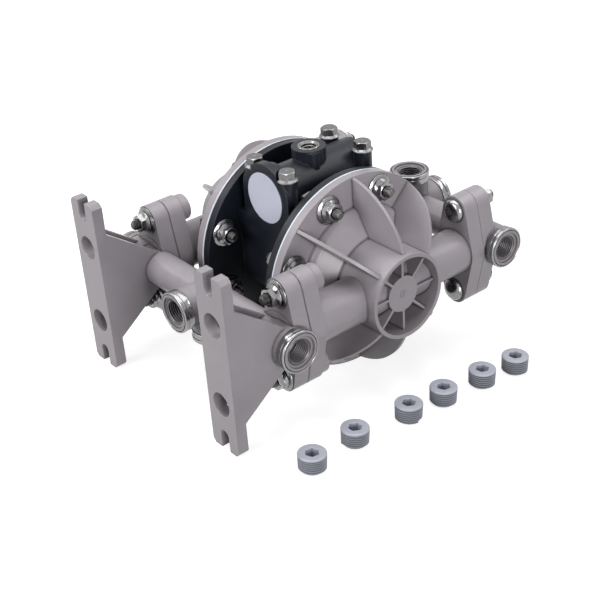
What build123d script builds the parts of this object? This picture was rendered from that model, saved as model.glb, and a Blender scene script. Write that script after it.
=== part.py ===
from build123d import *
from math import cos, radians, sin, sqrt, tan
import os

# Half inch air operated double diaphragm pump in moulded plastic, lying on its back beside
# the six threaded plugs that close its spare ports. Millimetres.
# X runs along the diaphragm rod, Y from the feet towards the outlet manifold (the way the
# liquid flows), Z up. Pieces are drawn about the middle of the diaphragm rod. The origin of the
# finished part is the centre of the feet on their mounting face.

# Diaphragms and the rod that joins them
STROKE = 7.0                    # travel of the rod each way from the middle
ROD_R = 8.0
RUNNING_GAP = 0.05              # radial clearance of a sliding piece
SCREW_R = 5.0
PLATE_R = 28.0                  # backing plates on both faces of a diaphragm
PLATE_T = 5.0
WEB_T = 3.0                     # diaphragm between its plates
CONVOLUTION_T = 2.0
CONVOLUTION_H = 5.0
CONVOLUTION_R = 51.0            # outer edge of the roll
RIM_T = 1.4                     # diaphragm where the cap clamps it
CLAMP_X = 43.0                  # middle plane of a diaphragm
SCREW_HEAD_H = 6.5
SCREW_HEAD_AF = 18.0
SCREW_DEPTH = 14.0              # of the hole in the rod's end

# Chambers on both sides of a diaphragm
CHAMBER_R = 61.0
AIR_CHAMBER_DEPTH = 3.5
PLATE_POCKET_GAP = 3.0          # round the backing plate, where it sinks into the centre body
PLATE_POCKET_END = 0.5          # left behind the plate at the end of its stroke
WEB_EDGE_GAP = 0.3

# Fluid caps
CAP_R = 79.6
CAP_FLANGE_T = 6.8
DOME_GAP = 0.3                  # between the root of the dome and the washers
DOME_WALL = 4.5
DOME_H = 16.0                   # from the flange's outer face to the hub's root
HUB_R = 34.3
HUB_WALL = 3.0
HUB_END_X = 107.6
HUB_BOSS_R = 14.6
HUB_RECESS = 5.6                # of the boss and of the ribs inside the hub, below its rim
HUB_RIB_T = 2.0
HUB_RIBS = 8
FIN_T = 2.6
FIN_ANGLES = (45, 90, 135, 225, 270, 315)
FIN_END_X = 104.0
FIN_BULGE = 10.0                # of a fin's curved edge beyond a straight one

# Studs that clamp each cap to the centre body
STUDS = 8
STUD_EDGE = 13.1                # from the circle of the studs to the edge of a cap
STUD_R = 4.0
STUD_HOLE_R = 4.4
STUD_OUT = 5.0                  # of thread past a nut
WASHER_R = 11.2
WASHER_T = 2.2
NUT_AF = 13.0
NUT_FLANGE_R = 8.8
NUT_FLANGE_T = 2.0
NUT_H = 7.0
NUT_BORE_GAP = 0.02

# Liquid ways
ARM_X = 82.0                    # of the arms and of the ball valves, from the middle
ARM_R = 18.0
WAY_R = 8.5
SEAM_Y = 88.2                   # joint face between a cap and a manifold
CAP_LUG_T = 13.4
MANIFOLD_LUG_T = 13.8
LUG_Z = 35.0                    # lug bolts, each side of the arm
LUG_R = 11.9
LUG_WAIST_R = 19.5
INLET_SEAM_CHAMFER = 0.9        # of both lugs where a cap meets the inlet manifold
OUTLET_SEAM_CHAMFER = 0.4
LUG_BOSS_R = 10.6               # round the blind end of an inlet lug's stud
LUG_BOSS_L = 8.5
LUG_BOSS_ROUND = 1.5
LUG_BOSS_FLOOR = 3.0
LUG_BOLT_R = 4.0
LUG_HOLE_R = 4.3
BOLT_DOME_R = 9.6               # round head of a lug bolt
BOLT_DOME_H = 5.8
BOLT_NECK = 8.0                 # square under the head
BOLT_NECK_L = 4.0
LUG_BOLT_OUT = 14.0             # from the manifold's lug to the end of the bolt
LUG_STUD_GAP = 0.3              # between an inlet stud and the floor of its hole
LUG_WASHER_R = 11.2

# Ball valves
BALL_R = 9.5
BALL_LIFT = 5.0
BALL_GAP = 0.5                  # between a ball and its guides
BALL_REST = 0.08                # left between a ball and its seat
CAGE_SLOT_R = 13.4
CAGE_SLOT_W = 7.0
CAGE_SLOT_OVER = 6.0            # past the ball's stop, so that liquid gets by
SEAT_R = 13.4
SEAT_BORE_R = 7.0
SEAT_T = 6.0
SEAL_IN_R = 14.4
SEAL_OUT_R = 16.8
SEAL_T = 2.2

# Manifolds
TUBE_Y = 105.4                  # axis of the run between the ports
TUBE_R = 13.8
TUBE_BORE_R = 9.2
CHAMBER_DOME_R = 14.4
END_PORT_X = 109.2
TEE_PORT_Y = 138.5
TEE_PORT_Z = 33.9
NECK_R = 15.4
PORT_BORE_R = 10.2
PORT_THREAD_L = 17.0
PORT_LIP_R = 12.7
PORT_LIP_DEPTH = 1.4
RING_R = 16.6
RING_IN_R = 14.5
RING_L = 8.4
RING_ROUND = 0.8

# Feet, part of the inlet manifold
FOOT_Y = 157.7
FOOT_T = 8.9
FOOT_X_IN = 65.4
FOOT_X_OUT = 96.0
FOOT_Z = 72.0
FOOT_CORNER = 3.0
FOOT_HOLE_R = 9.5
FOOT_HOLE_Z = 32.7
SLOT_W = 9.6
SLOT_DEPTH = 16.5
GUSSET_T = 4.6
GUSSET_FOOT_Z = 46.0
FOOT_RIB_T = 3.2
FOOT_RIB_Z = 21.0
FOOT_RIB_L = 20.0

# Centre body
RIM_SHOWN = 0.4                 # the discs of the body are this much smaller than the caps
BODY_FLANGE_T = 6.6
CORE_R = 38.0
RIB_T = 5.0
RIB_EDGE = 3.2                  # from the rib under the core to the edge of a disc
BLOCK_TOP = 40.0
BLOCK_BOTTOM = -19.0
VALVE_Z = 61.5                  # axis of the air valve
VALVE_TUBE_R = 20.5
VALVE_BORE_R = 14.0
VALVE_L = 90.0
PAD_R = 27.5
PAD_T = 7.0
FRONT_CAP_R = 21.4
REAR_CAP_R = 17.0
END_CAP_T = 3.5
LABEL_R = 20.4
LABEL_T = 0.6
ARCH_R = 24.5
ARCH_T = 3.0
ARCH_GAP = 3.0
BOSS_X = 19.7
BOSS_IN = 7.5                   # from an end of the valve block
BOSS_R = 7.2
BOSS_TOP = 79.8
BLOCK_BOLT_R = 3.5
BLOCK_BOLT_L = 36.0
BLOCK_BOLT_FLANGE_R = 8.2
BLOCK_BOLT_FLANGE_T = 1.6
BLOCK_BOLT_AF = 12.0
BLOCK_BOLT_HEAD_H = 8.0
INLET_BOSS_R = 13.4
INLET_TOP = 90.2
INLET_WAY_R = 4.0
INSERT_R = 8.6
INSERT_BORE_R = 5.9
INSERT_L = 14.0
INSERT_PROUD = 0.4
PILLAR_R = 5.5
PILLAR_X = 9.5
PILLAR_Y = -4.0
EXHAUST_END = 66.0              # below the middle
EXHAUST_BOSS_R = 14.5
EXHAUST_INSERT_R = 10.6
EXHAUST_BORE_R = 7.6
HOLE_GAP = 0.2

# Air valve and its pilot
SLEEVE_IN_R = 10.0
SPOOL_SHIFT = 12.0
SPOOL_LAND_L = 10.0
SPOOL_LANDS = 4
SPOOL_NECK_R = 6.0
SPOOL_END_GAP = 0.5
SLEEVE_PORT_R = 3.0
SLEEVE_PORTS = 5
SLEEVE_PORT_PITCH = 12.0
AIR_WAY_Z = 34.0                # of the ways from the valve to the air chambers
PILOT_R = 2.5
PILOT_Y = -20.0
PILOT_TRAVEL = 3.0
PILOT_END_GAP = 0.05

# Loose port plugs, standing on the floor
PLUG_R = 10.7
PLUG_H = 14.1
PLUG_TAPER = 1.79               # degrees
PLUG_CHAMFER = 1.0
PLUG_SOCKET_AF = 9.5
PLUG_SOCKET_DEPTH = 8.0
FLOOR_LEAN = 2.75               # degrees, the pump lies on its cap rims and its feet
PLUG_PLACES = (
    (139.5, -126.4), (136.2, -83.3), (139.1, -32.7),
    (140.7, 1.9), (142.8, 41.9), (146.5, 75.3),
)

# What follows from the sizes above
cap_face_x = CLAMP_X + RIM_T / 2
cap_out_x = cap_face_x + CAP_FLANGE_T
stud_circle_r = CAP_R - STUD_EDGE
dome_r = stud_circle_r - WASHER_R - DOME_GAP
body_r = CAP_R - RIM_SHOWN
rib_out_r = body_r - RIB_EDGE
body_face_x = CLAMP_X - RIM_T / 2
body_in_x = body_face_x - BODY_FLANGE_T
hub_floor_x = cap_out_x + DOME_H
hub_rib_x = HUB_END_X - HUB_RECESS
plate_in_x = CLAMP_X - WEB_T / 2 - PLATE_T
plate_out_x = CLAMP_X + WEB_T / 2 + PLATE_T
pocket_x = plate_in_x - STROKE - PLATE_POCKET_END
pocket_r = PLATE_R + PLATE_POCKET_GAP
cap_lug_y = SEAM_Y - CAP_LUG_T
manifold_lug_y = SEAM_Y + MANIFOLD_LUG_T
lug_hole_l = CAP_LUG_T + LUG_BOSS_L - LUG_BOSS_FLOOR
lug_boss_y = cap_lug_y - LUG_BOSS_L
ball_rise = sqrt(BALL_R**2 - SEAT_BORE_R**2) + BALL_REST
ball_guide_r = BALL_R + BALL_GAP
cage_l = ball_rise + BALL_LIFT + sqrt(BALL_R**2 - WAY_R**2) + BALL_REST
exhaust_y = 2 * SLEEVE_PORT_PITCH
valve_end_y = VALVE_L / 2
boss_y = valve_end_y - BOSS_IN
boss_places = [(x, y) for x in (-BOSS_X, BOSS_X) for y in (-boss_y, boss_y)]
spool_l = VALVE_L - 2 * END_CAP_T - 2 * SPOOL_END_GAP - SPOOL_SHIFT
pilot_half_l = plate_in_x - STROKE + PILOT_TRAVEL - PILOT_END_GAP
stud_angles = [360 / STUDS * (n + 0.5) for n in range(STUDS)]
foot_x = (FOOT_X_IN + FOOT_X_OUT) / 2
datum = Location((0, FOOT_Y, 0))

os.makedirs("parts", exist_ok=True)


def save(piece, name):
    """Label a finished piece, set it in the frame of the feet and write it."""
    placed = piece.moved(datum)
    placed.label = name
    export_step(placed, f"parts/{name}.step")
    return placed


def across_x(x):
    """A plane square to the rod, with its own axes along Y and Z."""
    return Plane.YZ.offset(x)


def across_y(y):
    """A plane square to the liquid's way, with its own axes along X and Z, facing -Y."""
    return Plane.XZ.offset(-y)


def lug_outline():
    """Two small circles and a large one in one taut outline, as a two bolt pipe flange has."""
    with Locations((ARM_X, 0)):
        Circle(LUG_WAIST_R)
    with Locations((ARM_X, LUG_Z), (ARM_X, -LUG_Z)):
        Circle(LUG_R)
    make_hull()


def seam_edges(piece, side):
    """The edges of a piece in the joint face between the caps and a manifold."""
    return piece.edges().filter_by_position(Axis.Y, side * SEAM_Y - 0.01, side * SEAM_Y + 0.01)


def seam_chamfer(side):
    """The chamfer of the lugs in that face."""
    return INLET_SEAM_CHAMFER if side < 0 else OUTLET_SEAM_CHAMFER


def lug_holes():
    """The two bolt holes of a lug."""
    with Locations((ARM_X, LUG_Z), (ARM_X, -LUG_Z)):
        Circle(LUG_HOLE_R)


def port_mouths(side):
    """Planes in the mouths of a manifold's four ports, each facing out of its port."""
    y = side * TUBE_Y
    return (
        Plane((-END_PORT_X, y, 0), x_dir=(0, 1, 0), z_dir=(-1, 0, 0)),
        Plane((END_PORT_X, y, 0), x_dir=(0, 1, 0), z_dir=(1, 0, 0)),
        Plane((0, side * TEE_PORT_Y, 0), x_dir=(1, 0, 0), z_dir=(0, side, 0)),
        Plane((0, y, side * TEE_PORT_Z), x_dir=(1, 0, 0), z_dir=(0, 0, side)),
    )


def feet():
    """Two feet for the inlet manifold: a slotted plate each, on two gussets from the run tube."""
    plate_in_y = FOOT_Y - FOOT_T
    slot_straight = SLOT_DEPTH - SLOT_W / 2
    with BuildPart() as pair:
        with BuildSketch(across_y(-FOOT_Y)):
            with Locations((foot_x, 0)):
                Rectangle(FOOT_X_OUT - FOOT_X_IN, 2 * FOOT_Z)
            with Locations((foot_x, FOOT_HOLE_Z), (foot_x, -FOOT_HOLE_Z)):
                Circle(FOOT_HOLE_R, mode=Mode.SUBTRACT)
            for end in (-1, 1):
                with Locations((foot_x, end * (FOOT_Z - slot_straight))):
                    Circle(SLOT_W / 2, mode=Mode.SUBTRACT)
                with Locations((foot_x, end * (FOOT_Z - slot_straight / 2))):
                    Rectangle(SLOT_W, slot_straight, mode=Mode.SUBTRACT)
        extrude(amount=-FOOT_T)
        outer_edges = pair.edges().filter_by(Axis.Y).group_by(Axis.X)
        chamfer(outer_edges[0] + outer_edges[-1], FOOT_CORNER)
        for x in (FOOT_X_IN, FOOT_X_OUT - GUSSET_T):
            with BuildSketch(across_x(x)):
                with BuildLine():
                    Polyline(
                        (-plate_in_y, -GUSSET_FOOT_Z),
                        (-plate_in_y, GUSSET_FOOT_Z),
                        (-TUBE_Y, TUBE_R),
                        (-TUBE_Y, -TUBE_R),
                        (-plate_in_y, -GUSSET_FOOT_Z),
                    )
                make_face()
            extrude(amount=GUSSET_T)
        # Cross ribs between a foot's two gussets
        for rib_z in (-FOOT_RIB_Z, FOOT_RIB_Z):
            with BuildSketch(across_x(FOOT_X_IN)):
                with Locations((-plate_in_y + FOOT_RIB_L / 2 - 1, rib_z)):
                    Rectangle(FOOT_RIB_L + 2, FOOT_RIB_T)
            extrude(amount=FOOT_X_OUT - FOOT_X_IN)
        mirror(about=Plane.YZ)
    return pair.part


def cage_hollow(side):
    """Space inside a right hand ball cage: the guide bore and two longer crossed slots."""
    with BuildPart() as hollow:
        with BuildSketch(across_y(side * SEAM_Y)):
            with Locations((ARM_X, 0)):
                Circle(ball_guide_r)
        extrude(amount=-cage_l)
        with BuildSketch(across_y(side * SEAM_Y)):
            with Locations((ARM_X, 0)):
                Rectangle(2 * CAGE_SLOT_R, CAGE_SLOT_W)
                Rectangle(CAGE_SLOT_W, 2 * CAGE_SLOT_R)
        extrude(amount=-cage_l - CAGE_SLOT_OVER)
    return hollow.part


def mirrored(piece):
    """The left hand twin of a right hand piece."""
    with BuildPart() as twin:
        mirror(piece, about=Plane.YZ)
    return twin.part


def fluid_cap():
    """Right fluid cap: bowl and hub turned about the rod, two arms, fins and ribs."""
    chamber_floor = hub_floor_x - DOME_WALL
    with BuildPart() as cap:
        with BuildSketch(Plane.XY) as section:
            with BuildLine():
                Polyline((cap_face_x, 0), (cap_face_x, CAP_R), (cap_out_x, CAP_R), (cap_out_x, dome_r))
                ThreePointArc((cap_out_x, dome_r), (cap_out_x + 4.5, dome_r - 1.6), (cap_out_x + 7, dome_r - 5))
                Line((cap_out_x + 7, dome_r - 5), (hub_floor_x, HUB_R + 2))
                Polyline((hub_floor_x, HUB_R + 2), (hub_floor_x, 0), (cap_face_x, 0))
            make_face()
        revolve(axis=Axis.X)
        # Hub tube
        with BuildSketch(across_x(hub_floor_x - 1)):
            Circle(HUB_R)
            Circle(HUB_R - HUB_WALL, mode=Mode.SUBTRACT)
        extrude(amount=HUB_END_X - hub_floor_x + 1)
        # Arms in one run behind the bowl, with a lug at each end
        with BuildSketch(across_y(cap_lug_y)):
            with Locations((ARM_X, 0)):
                Circle(ARM_R)
        extrude(amount=2 * cap_lug_y)
        for side in (-1, 1):
            with BuildSketch(across_y(side * cap_lug_y)):
                lug_outline()
            extrude(amount=-side * CAP_LUG_T)
            chamfer(seam_edges(cap, side), seam_chamfer(side))
        # Blind bosses behind the inlet lug, round the ends of its studs
        with BuildSketch(across_y(-cap_lug_y)):
            with Locations((ARM_X, LUG_Z), (ARM_X, -LUG_Z)):
                Circle(LUG_BOSS_R)
        extrude(amount=-LUG_BOSS_L)
        boss_rims = cap.edges().filter_by(GeomType.CIRCLE)
        boss_rims = boss_rims.filter_by_position(Axis.Y, -lug_boss_y - 0.01, -lug_boss_y + 0.01)
        fillet(boss_rims, LUG_BOSS_ROUND)
        # Boss and ribs inside the hub, and the boss round the way into the bowl
        with BuildSketch(across_x(ARM_X)):
            Circle(HUB_BOSS_R)
        extrude(amount=hub_rib_x - ARM_X)
        with BuildSketch(across_x(hub_floor_x - 1)):
            Circle(HUB_BOSS_R)
        extrude(amount=ARM_X - hub_floor_x + 1)
        with BuildSketch(across_x(hub_floor_x - 1)):
            with PolarLocations(HUB_R / 2, HUB_RIBS):
                Rectangle(HUB_R - HUB_WALL / 2, HUB_RIB_T)
        extrude(amount=hub_rib_x - hub_floor_x + 1)
        # Outer fins from the flange to the hub
        for angle in FIN_ANGLES:
            turned = Plane.XY.rotated((angle, 0, 0))
            with BuildSketch(turned):
                with BuildLine():
                    start = (cap_out_x - 1, CAP_R - 0.6)
                    end = (FIN_END_X, HUB_R)
                    run, drop = end[0] - start[0], start[1] - end[1]
                    length = sqrt(run**2 + drop**2)
                    middle = (
                        (start[0] + end[0]) / 2 + FIN_BULGE * drop / length,
                        (start[1] + end[1]) / 2 + FIN_BULGE * run / length,
                    )
                    ThreePointArc(start, middle, end)
                    Polyline(
                        end,
                        (FIN_END_X, HUB_R - HUB_WALL / 2),
                        (hub_floor_x - 1, HUB_R - HUB_WALL / 2),
                        (cap_out_x + 3, dome_r - 5),
                        (cap_out_x - 1, dome_r),
                        start,
                    )
                make_face()
            extrude(amount=FIN_T / 2, both=True)
        # The bowl behind the diaphragm
        with BuildSketch(Plane.XY):
            with BuildLine():
                Polyline(
                    (cap_face_x, 0),
                    (cap_face_x, CHAMBER_R),
                    (cap_face_x + 1, CHAMBER_R),
                    (cap_face_x + 3, dome_r - 3.5),
                    (cap_out_x + 3.2, dome_r - 7.5),
                    (chamber_floor, HUB_R),
                    (chamber_floor, 0),
                    (cap_face_x, 0),
                )
            make_face()
        revolve(axis=Axis.X, mode=Mode.SUBTRACT)
        with BuildSketch(across_x(chamber_floor - 1)):
            Circle(HUB_BOSS_R - HUB_WALL)
        extrude(amount=ARM_X - chamber_floor + 1, mode=Mode.SUBTRACT)
        # Liquid way, ball cage at the inlet end and seat pocket at the outlet end
        with BuildSketch(across_y(SEAM_Y)):
            with Locations((ARM_X, 0)):
                Circle(WAY_R)
        extrude(amount=2 * SEAM_Y, mode=Mode.SUBTRACT)
        add(cage_hollow(-1), mode=Mode.SUBTRACT)
        with BuildSketch(across_y(SEAM_Y)):
            with Locations((ARM_X, 0)):
                Circle(SEAT_R)
        extrude(amount=SEAT_T, mode=Mode.SUBTRACT)
        # Stud holes, blind holes in the inlet lug and square necked ones in the outlet lug
        with BuildSketch(across_x(cap_face_x)):
            with PolarLocations(stud_circle_r, STUDS, start_angle=stud_angles[0]):
                Circle(STUD_HOLE_R)
        extrude(amount=CAP_FLANGE_T + 1, mode=Mode.SUBTRACT)
        for side, depth in ((-1, lug_hole_l), (1, CAP_LUG_T)):
            with BuildSketch(across_y(side * SEAM_Y)):
                lug_holes()
            extrude(amount=side * depth, mode=Mode.SUBTRACT)
        with BuildSketch(across_y(cap_lug_y)):
            with Locations((ARM_X, LUG_Z), (ARM_X, -LUG_Z)):
                Rectangle(BOLT_NECK + HOLE_GAP, BOLT_NECK + HOLE_GAP)
        extrude(amount=-BOLT_NECK_L - HOLE_GAP, mode=Mode.SUBTRACT)
    return cap.part


def centre_body():
    """Moulded middle section: two flanges on a core, the air valve's block and its bosses."""
    with BuildPart() as body:
        with BuildSketch(across_x(-body_face_x)):
            Circle(CORE_R)
        extrude(amount=2 * body_face_x)
        for side in (-1, 1):
            with BuildSketch(across_x(side * body_face_x)):
                Circle(body_r)
            extrude(amount=-side * BODY_FLANGE_T)
        # Web under the core, and the block that the air valve stands on
        with BuildSketch(across_x(-body_in_x)):
            with Locations((0, -(CORE_R + rib_out_r) / 2 + 1)):
                Rectangle(RIB_T, rib_out_r - CORE_R + 2)
            with Locations((0, (BLOCK_TOP + BLOCK_BOTTOM) / 2)):
                Rectangle(2 * valve_end_y, BLOCK_TOP - BLOCK_BOTTOM)
        extrude(amount=2 * body_in_x)
        with BuildSketch(across_y(-valve_end_y)):
            with Locations((0, VALVE_Z)):
                Circle(VALVE_TUBE_R)
            with Locations((0, VALVE_Z / 2)):
                Rectangle(2 * VALVE_TUBE_R, VALVE_Z)
        extrude(amount=-2 * valve_end_y)
        # Arched pad at the front end of the valve tube, and a collar behind it
        with BuildSketch(across_y(-valve_end_y)):
            with Locations((0, VALVE_Z)):
                Circle(PAD_R)
            with Locations((0, VALVE_Z / 2)):
                Rectangle(2 * PAD_R, VALVE_Z)
        extrude(amount=-PAD_T)
        with BuildSketch(across_y(-valve_end_y + PAD_T + ARCH_GAP)):
            with Locations((0, VALVE_Z)):
                Circle(ARCH_R)
        extrude(amount=-ARCH_T)
        with BuildSketch(Plane.XY.offset(BLOCK_TOP - 2)):
            with Locations(*boss_places):
                Circle(BOSS_R)
        extrude(amount=BOSS_TOP - BLOCK_TOP + 2)
        # Air inlet boss with a small pillar beside it, and the exhaust boss underneath
        with BuildSketch(Plane.XY.offset(VALVE_Z + VALVE_BORE_R)):
            Circle(INLET_BOSS_R)
        extrude(amount=INLET_TOP - VALVE_Z - VALVE_BORE_R)
        with BuildSketch(Plane.XY.offset(VALVE_Z)):
            with Locations((PILLAR_X, PILLAR_Y)):
                Circle(PILLAR_R)
        extrude(amount=INLET_TOP - VALVE_Z - 1)
        with BuildSketch(Plane.XY.offset(-EXHAUST_END)):
            with Locations((0, exhaust_y)):
                Circle(EXHAUST_BOSS_R)
        extrude(amount=EXHAUST_END - CORE_R + 8)
        # Air chambers, with a pocket for the backing plate
        for side in (-1, 1):
            with BuildSketch(Plane.XY):
                with BuildLine():
                    Polyline(
                        (side * body_face_x, 0),
                        (side * body_face_x, CHAMBER_R),
                        (side * (body_face_x - 1), CHAMBER_R),
                        (side * (body_face_x - AIR_CHAMBER_DEPTH), (CHAMBER_R + pocket_r) / 2),
                        (side * (body_face_x - AIR_CHAMBER_DEPTH), pocket_r),
                        (side * pocket_x, pocket_r),
                        (side * pocket_x, 0),
                        (side * body_face_x, 0),
                    )
                make_face()
            revolve(axis=Axis.X, mode=Mode.SUBTRACT)
        # Bores for the rod, the pilot rod, the valve and its end caps
        with BuildSketch(across_x(-body_face_x)):
            Circle(ROD_R + RUNNING_GAP)
            with Locations((PILOT_Y, 0)):
                Circle(PILOT_R + RUNNING_GAP)
        extrude(amount=2 * body_face_x, mode=Mode.SUBTRACT)
        with BuildSketch(across_y(-valve_end_y)):
            with Locations((0, VALVE_Z)):
                Circle(VALVE_BORE_R)
        extrude(amount=-VALVE_L, mode=Mode.SUBTRACT)
        for side, cap_r in ((-1, FRONT_CAP_R), (1, REAR_CAP_R)):
            with BuildSketch(across_y(side * valve_end_y)):
                with Locations((0, VALVE_Z)):
                    Circle(cap_r + HOLE_GAP)
            extrude(amount=side * END_CAP_T, mode=Mode.SUBTRACT)
        # Air inlet and exhaust, and the ways from the valve to both air chambers
        with BuildSketch(Plane.XY.offset(VALVE_Z)):
            Circle(INLET_WAY_R)
        extrude(amount=INLET_TOP - VALVE_Z, mode=Mode.SUBTRACT)
        with BuildSketch(Plane.XY.offset(INLET_TOP)):
            Circle(INSERT_R)
        extrude(amount=-INSERT_L, mode=Mode.SUBTRACT)
        with BuildSketch(Plane.XY.offset(-EXHAUST_END)):
            with Locations((0, exhaust_y)):
                Circle(EXHAUST_INSERT_R)
        extrude(amount=INSERT_L, mode=Mode.SUBTRACT)
        with BuildSketch(Plane.XY.offset(-EXHAUST_END)):
            with Locations((0, exhaust_y)):
                Circle(SLEEVE_PORT_R)
        extrude(amount=EXHAUST_END + VALVE_Z, mode=Mode.SUBTRACT)
        for side in (-1, 1):
            with BuildSketch(Plane.XY.offset(AIR_WAY_Z)):
                with Locations((0, side * SLEEVE_PORT_PITCH)):
                    Circle(SLEEVE_PORT_R)
            extrude(amount=VALVE_Z - AIR_WAY_Z, mode=Mode.SUBTRACT)
            with BuildSketch(Plane.YZ):
                with Locations((side * SLEEVE_PORT_PITCH, AIR_WAY_Z)):
                    Circle(SLEEVE_PORT_R)
            extrude(amount=side * body_face_x, mode=Mode.SUBTRACT)
        # Holes for the studs and for the block's bolts
        with BuildSketch(across_x(-body_face_x)):
            with PolarLocations(stud_circle_r, STUDS, start_angle=stud_angles[0]):
                Circle(STUD_HOLE_R)
        extrude(amount=BODY_FLANGE_T, mode=Mode.SUBTRACT)
        with BuildSketch(across_x(body_in_x)):
            with PolarLocations(stud_circle_r, STUDS, start_angle=stud_angles[0]):
                Circle(STUD_HOLE_R)
        extrude(amount=BODY_FLANGE_T, mode=Mode.SUBTRACT)
        with BuildSketch(Plane.XY.offset(BOSS_TOP)):
            with Locations(*boss_places):
                Circle(BLOCK_BOLT_R + HOLE_GAP)
        extrude(amount=-BLOCK_BOLT_L - 1, mode=Mode.SUBTRACT)
        with BuildSketch(Plane.XY.offset(BOSS_TOP)):
            with Locations(*boss_places):
                Circle(BLOCK_BOLT_FLANGE_R + HOLE_GAP)
        extrude(amount=BLOCK_BOLT_HEAD_H, mode=Mode.SUBTRACT)
    return body.part


def manifold(side):
    """Run tube between two ball valve chambers, with four ports. side is -1 inlet, 1 outlet."""
    cage = cage_hollow(1)
    with BuildPart() as piece:
        if side < 0:
            add(foot_pair)
        with BuildSketch(across_x(-ARM_X)):
            with Locations((side * TUBE_Y, 0)):
                Circle(TUBE_R)
        extrude(amount=2 * ARM_X)
        with BuildSketch(across_x(-END_PORT_X)):
            with Locations((side * TUBE_Y, 0)):
                Circle(NECK_R)
        extrude(amount=END_PORT_X - ARM_X)
        with BuildSketch(across_x(ARM_X)):
            with Locations((side * TUBE_Y, 0)):
                Circle(NECK_R)
        extrude(amount=END_PORT_X - ARM_X)
        # Tee in the middle, one port along the flow and one across it
        with BuildSketch(across_y(side * TUBE_Y)):
            Circle(NECK_R)
        extrude(amount=-side * (TEE_PORT_Y - TUBE_Y))
        with BuildSketch(Plane.XY):
            with Locations((0, side * TUBE_Y)):
                Circle(NECK_R)
        extrude(amount=side * TEE_PORT_Z)
        # Valve chambers with their lugs
        for x in (-ARM_X, ARM_X):
            with BuildSketch(across_y(side * SEAM_Y)):
                with Locations((x, 0)):
                    Circle(LUG_WAIST_R)
            extrude(amount=-side * (MANIFOLD_LUG_T + 1))
            with BuildSketch(across_y(side * manifold_lug_y)):
                with Locations((x, 0)):
                    Circle(CHAMBER_DOME_R)
            extrude(amount=-side * (TUBE_Y - manifold_lug_y))
            with Locations((x, side * TUBE_Y, 0)):
                Sphere(CHAMBER_DOME_R)
        for hand in (-1, 1):
            with BuildSketch(across_y(side * SEAM_Y)):
                with Locations((hand * ARM_X - ARM_X, 0)):
                    lug_outline()
            extrude(amount=-side * MANIFOLD_LUG_T)
        chamfer(seam_edges(piece, side), seam_chamfer(side))
        # Bores of the run and of the tee, with a wider thread and a lip at each port
        with BuildSketch(across_x(-END_PORT_X)):
            with Locations((side * TUBE_Y, 0)):
                Circle(TUBE_BORE_R)
        extrude(amount=2 * END_PORT_X, mode=Mode.SUBTRACT)
        with BuildSketch(across_y(side * TUBE_Y)):
            Circle(TUBE_BORE_R)
        extrude(amount=-side * (TEE_PORT_Y - TUBE_Y), mode=Mode.SUBTRACT)
        with BuildSketch(Plane.XY):
            with Locations((0, side * TUBE_Y)):
                Circle(TUBE_BORE_R)
        extrude(amount=side * TEE_PORT_Z, mode=Mode.SUBTRACT)
        for mouth in port_mouths(side):
            with BuildSketch(mouth):
                Circle(PORT_BORE_R)
            extrude(amount=-PORT_THREAD_L, mode=Mode.SUBTRACT)
            with BuildSketch(mouth):
                Circle(PORT_LIP_R)
            extrude(amount=-PORT_LIP_DEPTH, mode=Mode.SUBTRACT)
            with BuildSketch(mouth):
                Circle(RING_R + 1)
                Circle(RING_IN_R, mode=Mode.SUBTRACT)
            extrude(amount=-RING_L, mode=Mode.SUBTRACT)
        # Seat pockets below the inlet valves, cages above the outlet seats, and seal grooves
        for hand in (-1, 1):
            if side < 0:
                with BuildSketch(across_y(-SEAM_Y)):
                    with Locations((hand * ARM_X, 0)):
                        Circle(SEAT_R)
                extrude(amount=SEAT_T, mode=Mode.SUBTRACT)
            else:
                add(cage if hand > 0 else mirrored(cage), mode=Mode.SUBTRACT)
            with BuildSketch(across_y(side * SEAM_Y)):
                with Locations((hand * ARM_X, 0)):
                    Circle(WAY_R)
            extrude(amount=-side * (TUBE_Y - SEAM_Y), mode=Mode.SUBTRACT)
            with BuildSketch(across_y(side * SEAM_Y)):
                with Locations((hand * ARM_X, 0)):
                    Circle(SEAL_OUT_R)
                    Circle(SEAL_IN_R, mode=Mode.SUBTRACT)
            extrude(amount=-side * SEAL_T, mode=Mode.SUBTRACT)
            with BuildSketch(across_y(side * SEAM_Y)):
                with Locations((hand * ARM_X - ARM_X, 0)):
                    lug_holes()
            extrude(amount=-side * MANIFOLD_LUG_T, mode=Mode.SUBTRACT)
    return piece.part


def valve_end_caps():
    """Round plates that close both ends of the valve bore."""
    with BuildPart() as caps:
        for side, cap_r in ((-1, FRONT_CAP_R), (1, REAR_CAP_R)):
            with BuildSketch(across_y(side * valve_end_y)):
                with Locations((0, VALVE_Z)):
                    Circle(cap_r)
            extrude(amount=side * END_CAP_T)
    return caps.part


def label_disc():
    """Blank round label on the front end cap."""
    with BuildPart() as label:
        with BuildSketch(across_y(-valve_end_y)):
            with Locations((0, VALVE_Z)):
                Circle(LABEL_R)
        extrude(amount=LABEL_T)
    return label.part


def valve_sleeve():
    """Liner of the valve bore, with ports through its wall on two sides."""
    with BuildPart() as sleeve:
        with BuildSketch(across_y(-valve_end_y + END_CAP_T)):
            with Locations((0, VALVE_Z)):
                Circle(VALVE_BORE_R)
                Circle(SLEEVE_IN_R, mode=Mode.SUBTRACT)
        extrude(amount=-2 * (valve_end_y - END_CAP_T))
        with BuildSketch(Plane.XY.offset(VALVE_Z - VALVE_BORE_R)):
            with GridLocations(1, SLEEVE_PORT_PITCH, 1, SLEEVE_PORTS):
                Circle(SLEEVE_PORT_R)
        extrude(amount=2 * VALVE_BORE_R, mode=Mode.SUBTRACT)
    return sleeve.part


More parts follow.
